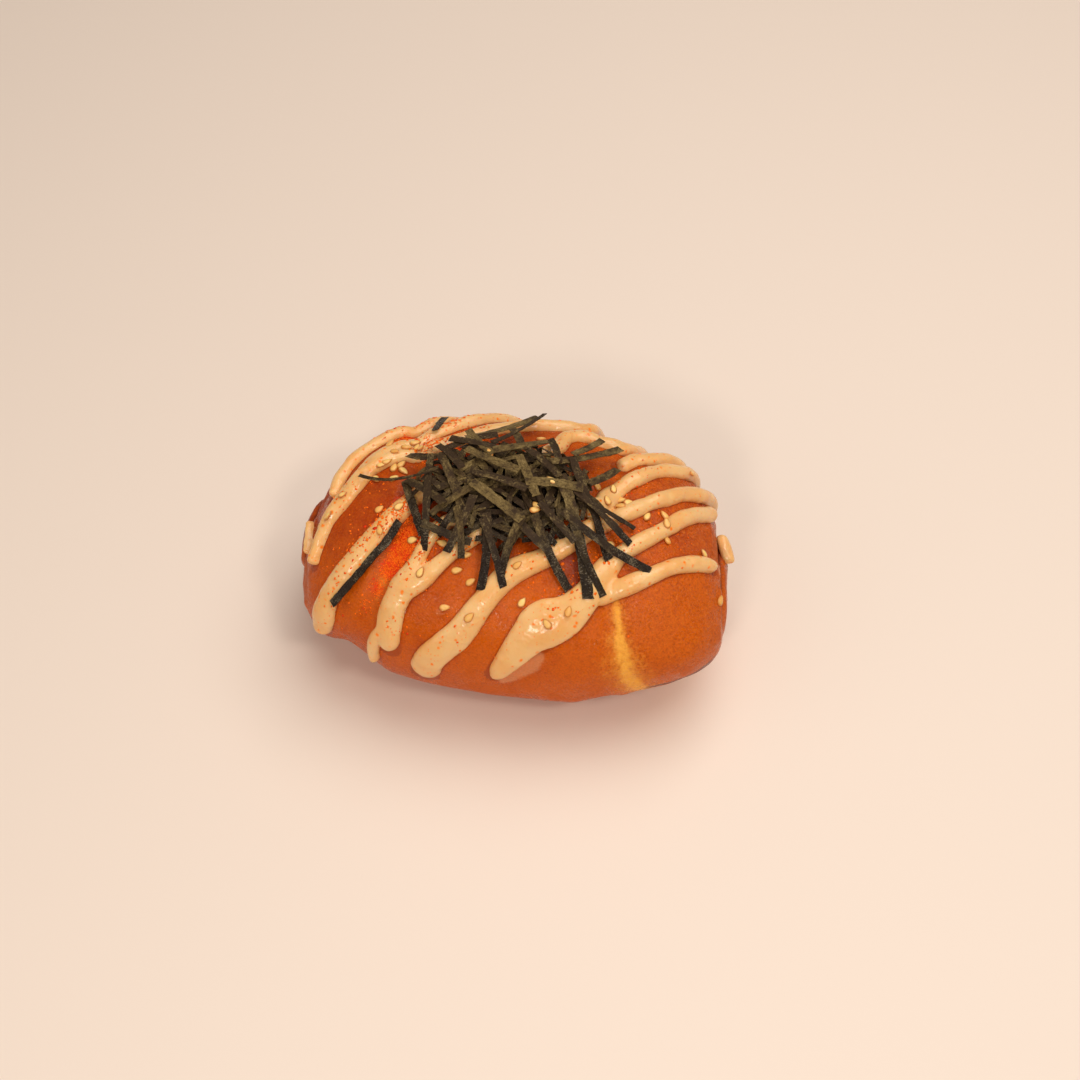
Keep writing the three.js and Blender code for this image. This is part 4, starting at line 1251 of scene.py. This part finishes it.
class SALTBREAD_OT_lone_shreds(bpy.types.Operator):
    """The two shreds of nori that lie beside the heap"""

    bl_idname = "saltbread.lone_shreds"
    bl_label = "Lone Shreds"

    def execute(self, context):
        settings = context.scene.saltbread_nori
        draw = np.random.default_rng(41)
        ground = Ground.of_roll()
        finish = nori_finish(settings, "Wet_Nori", 0.24)
        for node, row in LONE_SHREDS.items():
            sheet = shred_sheet(ground, row, draw, (0.1, 0.1), 0.15, 1)
            apply_modifier(sheet, "SOLIDIFY", thickness=settings.thickness, offset=0)
            keep_crisp(sheet)
            finish_piece(sheet, node.replace("strip", "shred"), finish, "nori", node)
        return {"FINISHED"}


def add_light(name, direction, distance, size, power, colour):
    """A soft square light that shines on the roll from a direction."""
    light = bpy.data.lights.new(name, "AREA")
    light.shape = "RECTANGLE"
    light.size, light.size_y = size
    light.energy = power
    light.color = colour
    lamp = bpy.data.objects.new(name, light)
    way = Vector(direction).normalized()
    lamp.location = way * distance + Vector((0, 0, 0.03))
    lamp.rotation_euler = (-way).to_track_quat("-Z", "Y").to_euler()
    bpy.context.collection.objects.link(lamp)


class SALTBREAD_OT_stage(bpy.types.Operator):
    """A pale floor, soft studio light and the camera"""

    bl_idname = "saltbread.stage"
    bl_label = "Stage"

    def execute(self, context):
        settings = context.scene.saltbread_stage
        deselect()
        bpy.ops.mesh.primitive_plane_add(size=8)
        floor = bpy.context.object
        floor.name = floor.data.name = "Floor"
        floor.data.materials.append(plain_finish("Floor", tuple(settings.floor), 0.6))
        world = bpy.data.worlds.new("Studio")
        world.use_nodes = True
        background = world.node_tree.nodes["Background"]
        background.inputs["Color"].default_value = (*settings.sky, 1)
        background.inputs["Strength"].default_value = settings.surround
        context.scene.world = world
        for name, values in LIGHTS.items():
            add_light(name, *values)
        context.scene.view_settings.view_transform = "Standard"
        azimuth, elevation = math.radians(CAMERA["azimuth"]), math.radians(CAMERA["elevation"])
        level = math.cos(elevation)
        back = Vector((math.sin(azimuth) * level, -math.cos(azimuth) * level, math.sin(elevation)))
        camera = bpy.data.cameras.new("Camera")
        camera.lens, camera.sensor_width = CAMERA["lens"], CAMERA["sensor"]
        camera.clip_start = 0.01
        stand = bpy.data.objects.new("Camera", camera)
        stand.location = (Vector(CAMERA["look_at"]) + Vector(CENTRE_SHIFT) + back * CAMERA["distance"]) * MM
        stand.rotation_euler = (-back).to_track_quat("-Z", "Y").to_euler()
        context.collection.objects.link(stand)
        context.scene.camera = stand
        return {"FINISHED"}


class SALTBREAD_PT_pieces(bpy.types.Panel):
    """Lists the pieces of the salt bread"""

    bl_idname = "SALTBREAD_PT_pieces"
    bl_label = "Salt Bread"
    bl_space_type = "VIEW_3D"
    bl_region_type = "UI"
    bl_category = "Salt Bread"

    def draw(self, context):
        for operator in OPERATORS:
            self.layout.operator(operator.bl_idname)


SETTINGS = {
    "saltbread_crust": CrustSettings,
    "saltbread_drizzle": DrizzleSettings,
    "saltbread_sesame": SesameSettings,
    "saltbread_chili": ChiliSettings,
    "saltbread_nori": NoriSettings,
    "saltbread_stage": StageSettings,
}
OPERATORS = (
    SALTBREAD_OT_crust, SALTBREAD_OT_drizzle, SALTBREAD_OT_chili, SALTBREAD_OT_lone_shreds,
    SALTBREAD_OT_nori_heap, SALTBREAD_OT_sesame, SALTBREAD_OT_stage,
)


def register():
    """Registers the settings, the operators and the panel."""
    for name, group in SETTINGS.items():
        bpy.utils.register_class(group)
        setattr(bpy.types.Scene, name, bpy.props.PointerProperty(type=group))
    for operator in OPERATORS:
        bpy.utils.register_class(operator)
    bpy.utils.register_class(SALTBREAD_PT_pieces)


def unregister():
    """Takes them off again."""
    bpy.utils.unregister_class(SALTBREAD_PT_pieces)
    for operator in reversed(OPERATORS):
        bpy.utils.unregister_class(operator)
    for name, group in SETTINGS.items():
        delattr(bpy.types.Scene, name)
        bpy.utils.unregister_class(group)


def main():
    """Makes every piece in order."""
    register()
    bpy.ops.saltbread.crust()
    bpy.ops.saltbread.drizzle()
    bpy.ops.saltbread.chili()
    bpy.ops.saltbread.lone_shreds()
    bpy.ops.saltbread.nori_heap()
    bpy.ops.saltbread.sesame()
    bpy.ops.saltbread.stage()


if __name__ == "__main__":
    main()
